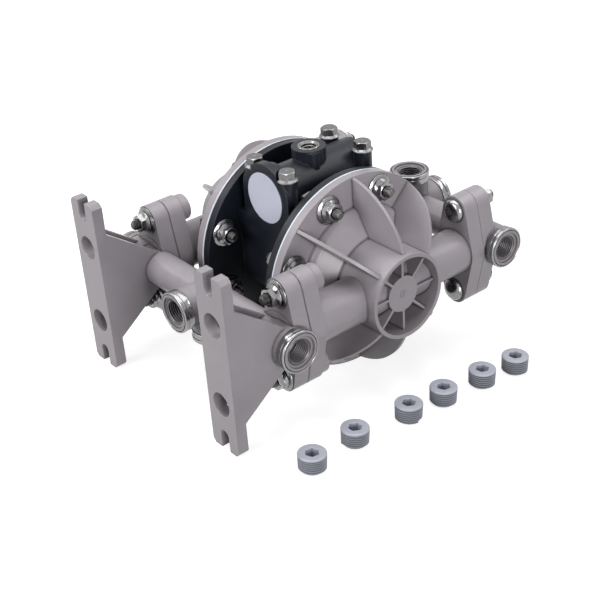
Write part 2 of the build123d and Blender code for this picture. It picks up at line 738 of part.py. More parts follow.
def valve_spool():
    """Sliding spool, at the front end of its travel, with lands between narrow necks."""
    front_y = -valve_end_y + END_CAP_T + SPOOL_END_GAP
    pitch = (spool_l - SPOOL_LAND_L) / (SPOOL_LANDS - 1)
    with BuildPart() as spool:
        with BuildSketch(across_y(front_y)):
            with Locations((0, VALVE_Z)):
                Circle(SPOOL_NECK_R)
        extrude(amount=-spool_l)
        for land in range(SPOOL_LANDS):
            with BuildSketch(across_y(front_y + land * pitch)):
                with Locations((0, VALVE_Z)):
                    Circle(SLEEVE_IN_R - RUNNING_GAP)
            extrude(amount=-SPOOL_LAND_L)
    return spool.part


def threaded_insert(y, top_z, outer_r, bore_r):
    """Metal bush moulded into a boss, with the pipe thread in it. It hangs down from top_z."""
    with BuildPart() as insert:
        with BuildSketch(Plane.XY.offset(top_z)):
            with Locations((0, y)):
                Circle(outer_r)
                Circle(bore_r, mode=Mode.SUBTRACT)
        extrude(amount=-INSERT_L)
    return insert.part


def block_bolts():
    """Four flanged hexagon bolts through the corners of the valve block."""
    with BuildPart() as bolts:
        with BuildSketch(Plane.XY.offset(BOSS_TOP)):
            with Locations(*boss_places):
                Circle(BLOCK_BOLT_FLANGE_R)
        extrude(amount=BLOCK_BOLT_FLANGE_T)
        with BuildSketch(Plane.XY.offset(BOSS_TOP)):
            with Locations(*boss_places):
                RegularPolygon(BLOCK_BOLT_AF / 2, 6, major_radius=False)
        extrude(amount=BLOCK_BOLT_HEAD_H)
        with BuildSketch(Plane.XY.offset(BOSS_TOP)):
            with Locations(*boss_places):
                Circle(BLOCK_BOLT_R)
        extrude(amount=-BLOCK_BOLT_L)
    return bolts.part


def diaphragm_rod():
    """Rod between the two diaphragms, drilled at both ends for their screws."""
    with BuildPart() as rod:
        with BuildSketch(across_x(-plate_in_x)):
            Circle(ROD_R)
        extrude(amount=2 * plate_in_x)
        for end in (-1, 1):
            with BuildSketch(across_x(end * plate_in_x)):
                Circle(SCREW_R)
            extrude(amount=-end * SCREW_DEPTH, mode=Mode.SUBTRACT)
    return rod.part


def pilot_rod():
    """Thin rod beside the main one, pushed over by a backing plate at each end of the stroke."""
    with BuildPart() as rod:
        with BuildSketch(across_x(-pilot_half_l)):
            with Locations((PILOT_Y, 0)):
                Circle(PILOT_R)
        extrude(amount=2 * pilot_half_l)
    return rod.part


def diaphragm_web():
    """Flexing part of the right diaphragm: flat between its plates, one roll outside them."""
    flat_r = PLATE_R + 2
    edge_r = CHAMBER_R - WEB_EDGE_GAP
    middle_r = (flat_r + CONVOLUTION_R) / 2
    near, far = CLAMP_X - CONVOLUTION_T / 2, CLAMP_X + CONVOLUTION_T / 2
    with BuildPart() as web:
        with BuildSketch(Plane.XY):
            with BuildLine():
                Polyline(
                    (near, flat_r),
                    (CLAMP_X - WEB_T / 2, flat_r),
                    (CLAMP_X - WEB_T / 2, SCREW_R + HOLE_GAP),
                    (CLAMP_X + WEB_T / 2, SCREW_R + HOLE_GAP),
                    (CLAMP_X + WEB_T / 2, flat_r),
                    (far, flat_r),
                )
                ThreePointArc((far, flat_r), (far + CONVOLUTION_H, middle_r), (far, CONVOLUTION_R))
                Polyline((far, CONVOLUTION_R), (far, edge_r), (near, edge_r), (near, CONVOLUTION_R))
                ThreePointArc((near, CONVOLUTION_R), (near + CONVOLUTION_H, middle_r), (near, flat_r))
            make_face()
        revolve(axis=Axis.X)
    return web.part


def diaphragm_rim():
    """Clamped rim of the right diaphragm, the pale line between cap and centre body."""
    with BuildPart() as rim:
        with BuildSketch(across_x(body_face_x)):
            Circle(CAP_R)
            Circle(CHAMBER_R, mode=Mode.SUBTRACT)
            with PolarLocations(stud_circle_r, STUDS, start_angle=stud_angles[0]):
                Circle(STUD_HOLE_R, mode=Mode.SUBTRACT)
        extrude(amount=RIM_T)
    return rim.part


def backing_plate(start_x, nose):
    """Plate on one face of the right diaphragm; nose is +1 where its edge is turned up outwards."""
    with BuildPart() as plate:
        with BuildSketch(across_x(start_x)):
            Circle(PLATE_R)
            Circle(SCREW_R + HOLE_GAP, mode=Mode.SUBTRACT)
        extrude(amount=PLATE_T)
        rims = plate.edges().filter_by(GeomType.CIRCLE).group_by(SortBy.RADIUS)[-1]
        chamfer(rims.sort_by(Axis.X)[-1 if nose > 0 else 0], PLATE_T / 2)
    return plate.part


def diaphragm_screw():
    """Right hand screw that holds a diaphragm and its plates on the rod."""
    with BuildPart() as screw:
        with BuildSketch(across_x(plate_out_x)):
            RegularPolygon(SCREW_HEAD_AF / 2, 6, major_radius=False)
        extrude(amount=SCREW_HEAD_H)
        with BuildSketch(across_x(plate_out_x)):
            Circle(SCREW_R - NUT_BORE_GAP)
        extrude(amount=-(plate_out_x - plate_in_x) - SCREW_DEPTH + 1)
    return screw.part


def cap_studs():
    """Studs round the right cap."""
    with BuildPart() as studs:
        with BuildSketch(across_x(body_in_x - WASHER_T - NUT_H - STUD_OUT)):
            with PolarLocations(stud_circle_r, STUDS, start_angle=stud_angles[0]):
                Circle(STUD_R)
        extrude(amount=cap_out_x - body_in_x + 2 * (WASHER_T + NUT_H + STUD_OUT))
    return studs.part


def cap_washers():
    """Washers on both sides of the right clamped joint."""
    with BuildPart() as washers:
        for start_x in (body_in_x - WASHER_T, cap_out_x):
            with BuildSketch(across_x(start_x)):
                with PolarLocations(stud_circle_r, STUDS, start_angle=stud_angles[0]):
                    Circle(WASHER_R)
                    Circle(STUD_HOLE_R, mode=Mode.SUBTRACT)
            extrude(amount=WASHER_T)
    return washers.part


def cap_nuts():
    """Flanged nuts on both ends of the right studs."""
    with BuildPart() as nuts:
        for face_x, way in ((body_in_x - WASHER_T, -1), (cap_out_x + WASHER_T, 1)):
            with BuildSketch(across_x(face_x)):
                with PolarLocations(stud_circle_r, STUDS, start_angle=stud_angles[0]):
                    Circle(NUT_FLANGE_R)
            extrude(amount=way * NUT_FLANGE_T)
            with BuildSketch(across_x(face_x)):
                with PolarLocations(stud_circle_r, STUDS, start_angle=stud_angles[0]):
                    RegularPolygon(NUT_AF / 2, 6, major_radius=False)
            extrude(amount=way * NUT_H)
            with BuildSketch(across_x(face_x)):
                with PolarLocations(stud_circle_r, STUDS, start_angle=stud_angles[0]):
                    Circle(STUD_R + NUT_BORE_GAP)
            extrude(amount=way * NUT_H, mode=Mode.SUBTRACT)
    return nuts.part


def lug_places():
    """Where the four lug bolts of a manifold stand, along X and Z."""
    return [(x, z) for x in (-ARM_X, ARM_X) for z in (-LUG_Z, LUG_Z)]


def lug_bolts():
    """Round headed square necked bolts through the outlet lugs, heads on the caps' lugs."""
    with BuildPart() as bolts:
        with BuildSketch(across_y(cap_lug_y - BOLT_DOME_H)):
            with Locations(*lug_places()):
                Circle(BOLT_DOME_R)
        extrude(amount=-BOLT_DOME_H)
        crowns = bolts.edges().filter_by(GeomType.CIRCLE).group_by(Axis.Y)[0]
        fillet(crowns, BOLT_DOME_H - 1)
        with BuildSketch(across_y(cap_lug_y)):
            with Locations(*lug_places()):
                Circle(LUG_BOLT_R)
        extrude(amount=-CAP_LUG_T - MANIFOLD_LUG_T - LUG_BOLT_OUT)
        with BuildSketch(across_y(cap_lug_y)):
            with Locations(*lug_places()):
                Rectangle(BOLT_NECK, BOLT_NECK)
        extrude(amount=-BOLT_NECK_L)
    return bolts.part


def lug_studs():
    """Studs through the inlet lugs, from the caps' blind bosses."""
    start_y = -SEAM_Y + lug_hole_l - LUG_STUD_GAP
    with BuildPart() as studs:
        with BuildSketch(across_y(start_y)):
            with Locations(*lug_places()):
                Circle(LUG_BOLT_R)
        extrude(amount=start_y + manifold_lug_y + LUG_BOLT_OUT)
    return studs.part


def lug_washers(side):
    """Washers on a manifold's lugs."""
    with BuildPart() as washers:
        with BuildSketch(across_y(side * manifold_lug_y)):
            with Locations(*lug_places()):
                Circle(LUG_WASHER_R)
                Circle(LUG_HOLE_R, mode=Mode.SUBTRACT)
        extrude(amount=-side * WASHER_T)
    return washers.part


def lug_nuts(side):
    """Flanged nuts on a manifold's lugs."""
    face_y = side * (manifold_lug_y + WASHER_T)
    with BuildPart() as nuts:
        with BuildSketch(across_y(face_y)):
            with Locations(*lug_places()):
                Circle(NUT_FLANGE_R)
        extrude(amount=-side * NUT_FLANGE_T)
        with BuildSketch(across_y(face_y)):
            with Locations(*lug_places()):
                RegularPolygon(NUT_AF / 2, 6, major_radius=False)
        extrude(amount=-side * NUT_H)
        with BuildSketch(across_y(face_y)):
            with Locations(*lug_places()):
                Circle(LUG_BOLT_R + NUT_BORE_GAP)
        extrude(amount=-side * NUT_H, mode=Mode.SUBTRACT)
    return nuts.part


def port_ring(mouth):
    """Steel band round a port's neck, flush with its mouth."""
    with BuildPart() as ring:
        with BuildSketch(mouth):
            Circle(RING_R)
            Circle(RING_IN_R, mode=Mode.SUBTRACT)
        extrude(amount=-RING_L)
        outer = ring.edges().filter_by(GeomType.CIRCLE).group_by(SortBy.RADIUS)[-1]
        fillet(outer, RING_ROUND)
    return ring.part


def valve_seat(x, side):
    """Seat ring of a ball valve, its bore chamfered where the ball sits."""
    start_y = -SEAM_Y - SEAT_T if side < 0 else SEAM_Y - SEAT_T
    with BuildPart() as seat:
        with BuildSketch(across_y(start_y)):
            with Locations((x, 0)):
                Circle(SEAT_R)
                Circle(SEAT_BORE_R, mode=Mode.SUBTRACT)
        extrude(amount=-SEAT_T)
    return seat.part


def valve_ball(x, side):
    """Ball of a ball valve, resting on its seat."""
    with BuildPart() as ball:
        with Locations((x, side * SEAM_Y + ball_rise, 0)):
            Sphere(BALL_R)
    return ball.part


def seat_seals():
    """Square section seal rings round the four seats, in the manifolds' grooves."""
    with BuildPart() as seals:
        for side in (-1, 1):
            with BuildSketch(across_y(side * SEAM_Y)):
                with Locations((-ARM_X, 0), (ARM_X, 0)):
                    Circle(SEAL_OUT_R)
                    Circle(SEAL_IN_R, mode=Mode.SUBTRACT)
            extrude(amount=-side * SEAL_T)
    return seals.part


def port_plug(place):
    """Hexagon socket pipe plug, upright on the floor, which slopes a little under the pump."""
    x, y = place
    up = (0, sin(radians(FLOOR_LEAN)), cos(radians(FLOOR_LEAN)))
    floor_z = (-CAP_R - up[1] * y) / up[2]
    stand = Plane((x, y, floor_z), x_dir=(1, 0, 0), z_dir=up)
    foot_r = PLUG_R - PLUG_H * tan(radians(PLUG_TAPER))
    with BuildPart() as plug:
        with Locations(stand.offset(PLUG_H / 2)):
            Cone(foot_r, PLUG_R, PLUG_H)
        chamfer(plug.edges().filter_by(GeomType.CIRCLE), PLUG_CHAMFER)
        with BuildSketch(stand.offset(PLUG_H)):
            RegularPolygon(PLUG_SOCKET_AF / 2, 6, major_radius=False)
        extrude(amount=-PLUG_SOCKET_DEPTH, mode=Mode.SUBTRACT)
    return plug.part


# Right hand pieces and their left hand twins
for name, piece in {
    "fluid_cap": fluid_cap(),
    "diaphragm_web": diaphragm_web(),
    "diaphragm_rim": diaphragm_rim(),
    "air_plate": backing_plate(plate_in_x, -1),
    "fluid_plate": backing_plate(CLAMP_X + WEB_T / 2, 1),
    "diaphragm_screw": diaphragm_screw(),
    "cap_studs": cap_studs(),
    "cap_washers": cap_washers(),
    "cap_nuts": cap_nuts(),
}.items():
    save(piece, name + "_right")
    save(mirrored(piece), name + "_left")

# The middle
save(centre_body(), "centre_body")
save(valve_end_caps(), "valve_end_caps")
save(label_disc(), "label_disc")
save(valve_sleeve(), "valve_sleeve")
save(valve_spool(), "valve_spool")
save(block_bolts(), "block_bolts")
save(lug_studs(), "inlet_studs")
save(lug_bolts(), "outlet_bolts")
inlet_insert = threaded_insert(0, INLET_TOP + INSERT_PROUD, INSERT_R, INSERT_BORE_R)
save(inlet_insert, "air_inlet_insert")
exhaust_top = INSERT_L - EXHAUST_END
save(threaded_insert(exhaust_y, exhaust_top, EXHAUST_INSERT_R, EXHAUST_BORE_R), "exhaust_insert")
save(diaphragm_rod(), "diaphragm_rod")
save(pilot_rod(), "pilot_rod")

# Both manifolds with their ports, valves and fasteners
foot_pair = feet()
for side, flow in ((-1, "inlet"), (1, "outlet")):
    save(manifold(side), flow + "_manifold")
    for mouth, port in zip(port_mouths(side), ("left", "right", "middle", "cross")):
        save(port_ring(mouth), f"{flow}_ring_{port}")
    for x, hand in ((-ARM_X, "left"), (ARM_X, "right")):
        save(valve_seat(x, side), f"{flow}_seat_{hand}")
        save(valve_ball(x, side), f"{flow}_ball_{hand}")
    save(lug_washers(side), flow + "_washers")
    save(lug_nuts(side), flow + "_nuts")
save(seat_seals(), "seat_seals")

# Loose plugs
for number, place in enumerate(PLUG_PLACES, start=1):
    save(port_plug(place), f"port_plug_{number}")
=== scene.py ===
# An air operated diaphragm pump in moulded plastic, lying on its back beside the six plugs that
# close its spare ports. Metres, in the frame of its feet: X along the diaphragm rod, Y from the
# feet towards the outlet, Z up.
from math import asin, cos, degrees, pi, radians, sin, tan, tau

import bmesh
import bpy
from mathutils import Matrix, Vector


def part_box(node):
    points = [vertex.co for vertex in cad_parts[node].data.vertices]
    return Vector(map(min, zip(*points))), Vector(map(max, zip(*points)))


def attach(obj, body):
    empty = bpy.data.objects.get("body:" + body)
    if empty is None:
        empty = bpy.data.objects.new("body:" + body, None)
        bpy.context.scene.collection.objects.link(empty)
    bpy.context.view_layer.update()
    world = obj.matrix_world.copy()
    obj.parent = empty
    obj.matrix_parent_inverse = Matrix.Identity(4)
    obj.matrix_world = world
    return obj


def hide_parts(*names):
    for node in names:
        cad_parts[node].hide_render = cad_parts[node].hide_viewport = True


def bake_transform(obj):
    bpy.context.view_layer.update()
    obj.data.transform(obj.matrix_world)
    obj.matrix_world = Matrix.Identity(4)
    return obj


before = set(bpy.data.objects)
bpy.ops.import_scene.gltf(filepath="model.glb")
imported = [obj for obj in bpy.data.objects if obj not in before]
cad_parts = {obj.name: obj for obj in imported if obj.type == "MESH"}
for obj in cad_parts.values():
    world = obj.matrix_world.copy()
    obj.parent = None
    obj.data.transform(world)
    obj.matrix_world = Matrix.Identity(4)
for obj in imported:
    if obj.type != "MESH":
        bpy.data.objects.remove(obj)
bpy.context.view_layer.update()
MM = 0.001
INCH = 25.4 * MM
HANDS = {"left": -1, "right": 1}        # the side of the pump along X
FLOWS = {"inlet": -1, "outlet": 1}      # the way each manifold lies along Y


# The camera
# A studio shot from a metre away and above, over the inlet end of the right cap. The values
# follow from the ellipses of the ports and from the pump's straight edges in the photograph.
def middle_of(node):
    """The middle of a CAD node's box."""
    low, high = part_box(node)
    return (low + high) / 2


pump_middle = middle_of("diaphragm_rod")
CAMERA_FROM_MIDDLE = Vector((693.1, -550.7, 477.3)) * MM
CAMERA_AZIMUTH = radians(52.516)
CAMERA_ELEVATION = radians(30.621)
CAMERA_ROLL = radians(-4.261)
CAMERA_LENS = 75.157
CAMERA_SENSOR = 36
camera_data = bpy.data.cameras.new("camera")
camera_data.lens = CAMERA_LENS
camera_data.sensor_width = CAMERA_SENSOR
camera = bpy.data.objects.new("camera", camera_data)
bpy.context.collection.objects.link(camera)
across = Vector((cos(CAMERA_AZIMUTH), sin(CAMERA_AZIMUTH), 0))
backwards = Vector((
    sin(CAMERA_AZIMUTH) * cos(CAMERA_ELEVATION),
    -cos(CAMERA_AZIMUTH) * cos(CAMERA_ELEVATION),
    sin(CAMERA_ELEVATION),
))
camera_turn = Matrix((across, backwards.cross(across), backwards)).transposed()
camera_turn = Matrix.Rotation(CAMERA_ROLL, 3, backwards) @ camera_turn
camera.matrix_world = Matrix.Translation(pump_middle + CAMERA_FROM_MIDDLE) @ camera_turn.to_4x4()
bpy.context.scene.camera = camera


# The floor and the studio
# A white sweep under the pump. The pump rests on the rims of its caps and the lower ends of its
# feet, so the floor leans a little in the pump's own frame. It is white where it is seen, and
# dark to the light that it would throw back at the pump.
FLOOR_LEAN = radians(2.75)
FLOOR_HALF_SIZE = 6.0
FLOOR_COLOUR = (0.42, 0.42, 0.42)
FLOOR_BOUNCE = (0.07, 0.07, 0.075)      # the colour that lights the pump from below
FLOOR_LIFT = 0.8                        # light of its own, which washes the shadows out
cap_low, cap_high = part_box("fluid_cap_right")
rim_r = (cap_high.z - cap_low.z) / 2
floor_up = Vector((0, sin(FLOOR_LEAN), cos(FLOOR_LEAN)))
floor_point = pump_middle - floor_up * rim_r


def stage_plane(name, centre, along, side, half_size):
    """A square plane, spanned by two directions."""
    mesh = bpy.data.meshes.new(name)
    corners = [centre + along * a * half_size + side * b * half_size
               for a, b in ((-1, -1), (1, -1), (1, 1), (-1, 1))]
    mesh.from_pydata(corners, [], [(0, 1, 2, 3)])
    plane = bpy.data.objects.new(name, mesh)
    bpy.context.collection.objects.link(plane)
    return plane


def nodes_of(material):
    """The material's node tree, emptied."""
    material.use_nodes = True
    material.node_tree.nodes.clear()
    return material.node_tree


def add(tree, kind, links=None, **values):
    """A node of this kind, with its properties set and its inputs set or linked by name."""
    node = tree.nodes.new(kind)
    for name, value in values.items():
        setattr(node, name, value)
    for name, value in (links or {}).items():
        socket = node.inputs[name]
        if isinstance(value, bpy.types.NodeSocket):
            tree.links.new(value, socket)
        else:
            socket.default_value = value
    return node


along_x = Vector((1, 0, 0))
floor_plane = stage_plane("floor", floor_point, along_x, floor_up.cross(along_x),
                          FLOOR_HALF_SIZE)
floor_material = bpy.data.materials.new("floor_paper")
tree = nodes_of(floor_material)
dull = add(tree, "ShaderNodeBsdfDiffuse", {"Color": (*FLOOR_BOUNCE, 1)})
paper = add(tree, "ShaderNodeBsdfDiffuse", {"Color": (*FLOOR_COLOUR, 1)})
lift = add(tree, "ShaderNodeEmission", {"Color": (1, 1, 1, 1), "Strength": FLOOR_LIFT})
white = add(tree, "ShaderNodeAddShader")
tree.links.new(paper.outputs[0], white.inputs[0])
tree.links.new(lift.outputs[0], white.inputs[1])


def looked_at(tree):
    """1 for the rays that see a surface: straight, mirrored or through glass."""
    rays = add(tree, "ShaderNodeLightPath")
    mirrored = add(tree, "ShaderNodeMath", {0: rays.outputs["Is Camera Ray"],
                                            1: rays.outputs["Is Glossy Ray"]}, operation="MAXIMUM")
    either = add(tree, "ShaderNodeMath", {0: mirrored.outputs[0],
                                          1: rays.outputs["Is Transmission Ray"]},
                 operation="MAXIMUM")
    return either.outputs[0]


seen = add(tree, "ShaderNodeMixShader", {"Fac": looked_at(tree)})
tree.links.new(dull.outputs[0], seen.inputs[1])
tree.links.new(white.outputs[0], seen.inputs[2])
add(tree, "ShaderNodeOutputMaterial", {"Surface": seen.outputs[0]})
floor_plane.data.materials.append(floor_material)

world = bpy.data.worlds.new("studio")
bpy.context.scene.world = world
world.use_nodes = True
tree = world.node_tree
tree.nodes.clear()
ROOM_LIGHT = (0.50, 0.51, 0.54)
ROOM_STRENGTH = 0.18
room = add(tree, "ShaderNodeBackground", {"Color": (*ROOM_LIGHT, 1), "Strength": ROOM_STRENGTH})
sweep = add(tree, "ShaderNodeBackground", {"Color": (1, 1, 1, 1), "Strength": 1.0})
shown = add(tree, "ShaderNodeMixShader", {"Fac": looked_at(tree)})
tree.links.new(room.outputs[0], shown.inputs[1])
tree.links.new(sweep.outputs[0], shown.inputs[2])
add(tree, "ShaderNodeOutputWorld", {"Surface": shown.outputs[0]})
bpy.context.scene.view_settings.view_transform = "Standard"


def soft_box(name, offset, size, power):
    """An area lamp at an offset from the pump's middle, facing it. Power is in watts."""
    lamp = bpy.data.lights.new(name, "AREA")
    lamp.shape = "RECTANGLE"
    lamp.size, lamp.size_y = size
    lamp.energy = power
    lamp_object = bpy.data.objects.new(name, lamp)
    lamp_object.location = pump_middle + Vector(offset)
    lamp_object.rotation_mode = "QUATERNION"
    lamp_object.rotation_quaternion = Vector(offset).to_track_quat("Z", "Y")
    bpy.context.collection.objects.link(lamp_object)


soft_box("ceiling", offset=(-0.1, 0.2, 1.5), size=(1.5, 1.3), power=15)
soft_box("ceiling_strip", offset=(-0.55, -0.35, 1.15), size=(0.22, 1.6), power=7)
soft_box("back_strip", offset=(0.35, 1.15, 1.15), size=(1.5, 0.3), power=7)
soft_box("front_left", offset=(-0.2, -2.1, 0.9), size=(1.3, 1.3), power=34)
soft_box("right_side", offset=(1.9, -0.5, 0.35), size=(0.8, 0.8), power=25)


# Grey plastic of the caps and manifolds
# Injection moulded polypropylene in a warm grey with glass fibre in it: satin, a little cloudy
# where the melt flowed, with painted highlights on its edges and painted shade in its crevices.
# It is as moulded, with no paint.
GREY = (0.286, 0.263, 0.283)
# How near other surfaces must be for painted shade to darken a crevice
CREVICE_REACH = 2.2 * MM
MIX_A, MIX_B, MIX_RESULT = 6, 7, 2      # colour sockets of the Mix node
# How far the painted edge highlight lightens a colour
EDGE_PALING = 1.6
EDGE_HAZE = 0.03
PLASTIC_IOR = 1.49


def shaded(tree, colour, crevice_shade, groove):
    """A colour with painted shade in narrow crevices and, by an attribute, in thread valleys."""
    # Painted shade: the colour darkens where other surfaces lie close about a point
    near = add(tree, "ShaderNodeAmbientOcclusion", {"Distance": CREVICE_REACH},
               samples=5)
    painted_crevice_shade = add(tree, "ShaderNodeMapRange", {"Value": near.outputs["AO"], "From Min": 0.42,
                                            "From Max": 0.92, "To Min": 1 - crevice_shade,
                                            "To Max": 1.0})
    # Painted shade in thread valleys, by the attribute that the thread tree stores
    valley = add(tree, "ShaderNodeAttribute", attribute_name="groove")
    painted_valley_shade = add(tree, "ShaderNodeMapRange", {"Value": valley.outputs["Fac"], "From Min": 0.2,
                                              "From Max": 0.8, "To Min": 1.0,
                                              "To Max": 1 - groove})
    both = add(tree, "ShaderNodeMath", {0: painted_crevice_shade.outputs[0], 1: painted_valley_shade.outputs[0]},
               operation="MULTIPLY")
    dark = add(tree, "ShaderNodeVectorMath", {0: colour}, operation="SCALE")
    tree.links.new(both.outputs[0], dark.inputs["Scale"])
    return dark.outputs[0]


def moulded_plastic(name, colour, roughness, cloud=0.06, edge=0.25, edge_radius=0.9 * MM,
                    grain=0.05, shine_level=0.5, crevice_shade=0.6, groove=0.0):
    """Satin moulded plastic: clouding, grain, rounded edges, painted edge highlights, painted
    shade.
    """
    material = bpy.data.materials.new(name)
    tree = nodes_of(material)
    place = add(tree, "ShaderNodeTexCoord").outputs["Object"]
    flow = add(tree, "ShaderNodeTexNoise", {"Vector": place, "Scale": 28.0, "Detail": 4.0,
                                            "Roughness": 0.6, "Distortion": 0.8})
    specks = add(tree, "ShaderNodeTexNoise", {"Vector": place, "Scale": 900.0, "Detail": 3.0})
    rounded = add(tree, "ShaderNodeBevel", {"Radius": edge_radius}, samples=6)
    flat = add(tree, "ShaderNodeNewGeometry")
    bend = add(tree, "ShaderNodeVectorMath", operation="DOT_PRODUCT")
    tree.links.new(rounded.outputs[0], bend.inputs[0])
    tree.links.new(flat.outputs["Normal"], bend.inputs[1])
    on_edge = add(tree, "ShaderNodeMapRange", {"Value": bend.outputs["Value"], "From Min": 0.995,
                                               "From Max": 0.8, "To Min": 0.0, "To Max": 1.0})
    # Painted highlight: edges turn paler, in patches broken up by noise
    painted_edge_highlight = add(tree, "ShaderNodeMath", operation="MULTIPLY")
    edge_highlight_noise = add(tree, "ShaderNodeTexNoise", {"Vector": place, "Scale": 120.0, "Detail": 5.0})
    tree.links.new(on_edge.outputs[0], painted_edge_highlight.inputs[0])
    tree.links.new(edge_highlight_noise.outputs["Fac"], painted_edge_highlight.inputs[1])
    ramp = add(tree, "ShaderNodeValToRGB", {"Fac": flow.outputs["Fac"]})
    ramp.color_ramp.elements[0].position = 0.3
    ramp.color_ramp.elements[1].position = 0.72
    ramp.color_ramp.elements[0].color = (*[c * (1 - cloud) for c in colour], 1)
    ramp.color_ramp.elements[1].color = (*[min(c * (1 + cloud), 1) for c in colour], 1)
    pale = [min(1, c * (1 + edge * EDGE_PALING) + edge * EDGE_HAZE) for c in colour]
    body = add(tree, "ShaderNodeMix", data_type="RGBA")
    tree.links.new(painted_edge_highlight.outputs[0], body.inputs[0])
    tree.links.new(ramp.outputs[0], body.inputs[MIX_A])
    body.inputs[MIX_B].default_value = (*pale, 1)
    shine = add(tree, "ShaderNodeMapRange", {"Value": flow.outputs["Fac"], "From Min": 0.25,
                                             "From Max": 0.75, "To Min": roughness - 0.05,
                                             "To Max": roughness + 0.06})
    bump = add(tree, "ShaderNodeBump", {"Strength": grain, "Distance": 0.12 * MM,
                                        "Height": specks.outputs["Fac"],
                                        "Normal": rounded.outputs[0]})
    skin = add(tree, "ShaderNodeBsdfPrincipled", {
        "Base Color": shaded(tree, body.outputs[MIX_RESULT], crevice_shade, groove),
        "Roughness": shine.outputs[0], "Normal": bump.outputs[0], "IOR": PLASTIC_IOR,
        "Specular IOR Level": shine_level,
    })
    add(tree, "ShaderNodeOutputMaterial", {"Surface": skin.outputs[0]})
    return material


def dress(node, material):
    """Gives a CAD node this material."""
    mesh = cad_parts[node].data
    mesh.materials.clear()
    mesh.materials.append(material)


grey_plastic = moulded_plastic("grey_polypropylene", GREY, 0.33, edge_radius=0.7 * MM,
                               shine_level=0.4, crevice_shade=0.75)
for flow in FLOWS:
    dress(f"{flow}_manifold", grey_plastic)
for hand in HANDS:
    dress(f"fluid_cap_{hand}", grey_plastic)
    dress(f"fluid_plate_{hand}", grey_plastic)
    for flow in FLOWS:
        dress(f"{flow}_seat_{hand}", grey_plastic)


# Centre body and air valve
# Black glass filled polypropylene with a bluish sheen. The valve bore's two end caps are the
# same stuff, with a blank round label on the front one.
BLACK = (0.006, 0.008, 0.013)
LABEL = (0.54, 0.55, 0.66)
# Its edges get a stronger painted highlight than the grey's
black_plastic = moulded_plastic("black_polypropylene", BLACK, 0.36, cloud=0.12, edge=0.6,
                                grain=0.09, shine_level=0.32)
for node in ("centre_body", "valve_end_caps", "valve_sleeve"):
    dress(node, black_plastic)
label_film = moulded_plastic("label_film", LABEL, 0.28, cloud=0.05, edge=0.1, grain=0.02)
dress("label_disc", label_film)


# Diaphragms, balls and seals
# White elastomer diaphragms, whose clamped rims show as a pale line round each cap, and white
# fluoropolymer balls and seal rings inside the valves.
ELASTOMER = (0.62, 0.66, 0.74)
POLYMER = (0.80, 0.80, 0.78)
white_elastomer = moulded_plastic("white_elastomer", ELASTOMER, 0.5, edge=0.05)
white_polymer = moulded_plastic("white_polymer", POLYMER, 0.3, cloud=0.02, edge=0.02)
for hand in HANDS:
    dress(f"diaphragm_rim_{hand}", white_elastomer)
    for flow in FLOWS:
        dress(f"{flow}_ball_{hand}", white_polymer)
dress("seat_seals", white_polymer)


# Rods, screws and plates inside
# Turned stainless steel, and an anodised aluminium spool in the air valve. Bolt heads on the
# block are duller, and threads darker, than the rest.
STEEL = (0.30, 0.295, 0.30)
DULL_STEEL = (0.20, 0.195, 0.20)
THREAD_STEEL = (0.17, 0.165, 0.16)
ALUMINIUM = (0.66, 0.67, 0.69)
SCRATCH_STRENGTH = 0.075


def polished_metal(name, colour, roughness, crevice_shade=0.5, groove=0.0):
    """Bright metal: fine scratches, faint smears, rounded edges, painted shade in crevices and
    valleys.
    """
    material = bpy.data.materials.new(name)
    tree = nodes_of(material)
    place = add(tree, "ShaderNodeTexCoord").outputs["Object"]
    stretch = add(tree, "ShaderNodeMapping", {"Vector": place, "Scale": (260.0, 900.0, 420.0)})
    lines = add(tree, "ShaderNodeTexNoise", {"Vector": stretch.outputs[0], "Scale": 5.0,
                                             "Detail": 5.0})
    smear = add(tree, "ShaderNodeTexNoise", {"Vector": place, "Scale": 110.0, "Detail": 4.0})
    shine = add(tree, "ShaderNodeMapRange", {"Value": smear.outputs["Fac"], "From Min": 0.3,
                                             "From Max": 0.75, "To Min": roughness * 0.6,
                                             "To Max": roughness * 1.6})
    tint = add(tree, "ShaderNodeValToRGB", {"Fac": smear.outputs["Fac"]})
    tint.color_ramp.elements[0].color = (*[c * 0.86 for c in colour], 1)
    tint.color_ramp.elements[1].color = (*colour, 1)
    rounded = add(tree, "ShaderNodeBevel", {"Radius": 0.25 * MM}, samples=4)
    bump = add(tree, "ShaderNodeBump", {"Strength": SCRATCH_STRENGTH, "Distance": 0.02 * MM,
                                        "Height": lines.outputs["Fac"],
                                        "Normal": rounded.outputs[0]})
    skin = add(tree, "ShaderNodeBsdfPrincipled", {
        "Base Color": shaded(tree, tint.outputs[0], crevice_shade, groove),
        "Roughness": shine.outputs[0], "Normal": bump.outputs[0], "Metallic": 1.0,
    })
    add(tree, "ShaderNodeOutputMaterial", {"Surface": skin.outputs[0]})
    return material


# Every metal gets painted shade in its crevices, and the threaded steel in its thread valleys too
steel = polished_metal("polished_stainless_steel", STEEL, 0.2)
dull_steel = polished_metal("dull_stainless_steel", DULL_STEEL, 0.3, crevice_shade=0.7)
thread_steel = polished_metal("threaded_stainless_steel", THREAD_STEEL, 0.34, groove=0.85)
aluminium = polished_metal("anodised_aluminium", ALUMINIUM, 0.35)
for node in ("diaphragm_rod", "pilot_rod", "air_plate_left", "air_plate_right",
             "diaphragm_screw_left", "diaphragm_screw_right", "exhaust_insert"):
    dress(node, steel)
dress("valve_spool", aluminium)


# Steel bands round the ports
# Each of the eight port necks is banded with polished stainless steel so that a taper pipe
# can't split the plastic. A band is rolled in two steps, with a rounded lip over the mouth.
SMOOTH_BELOW = radians(32)


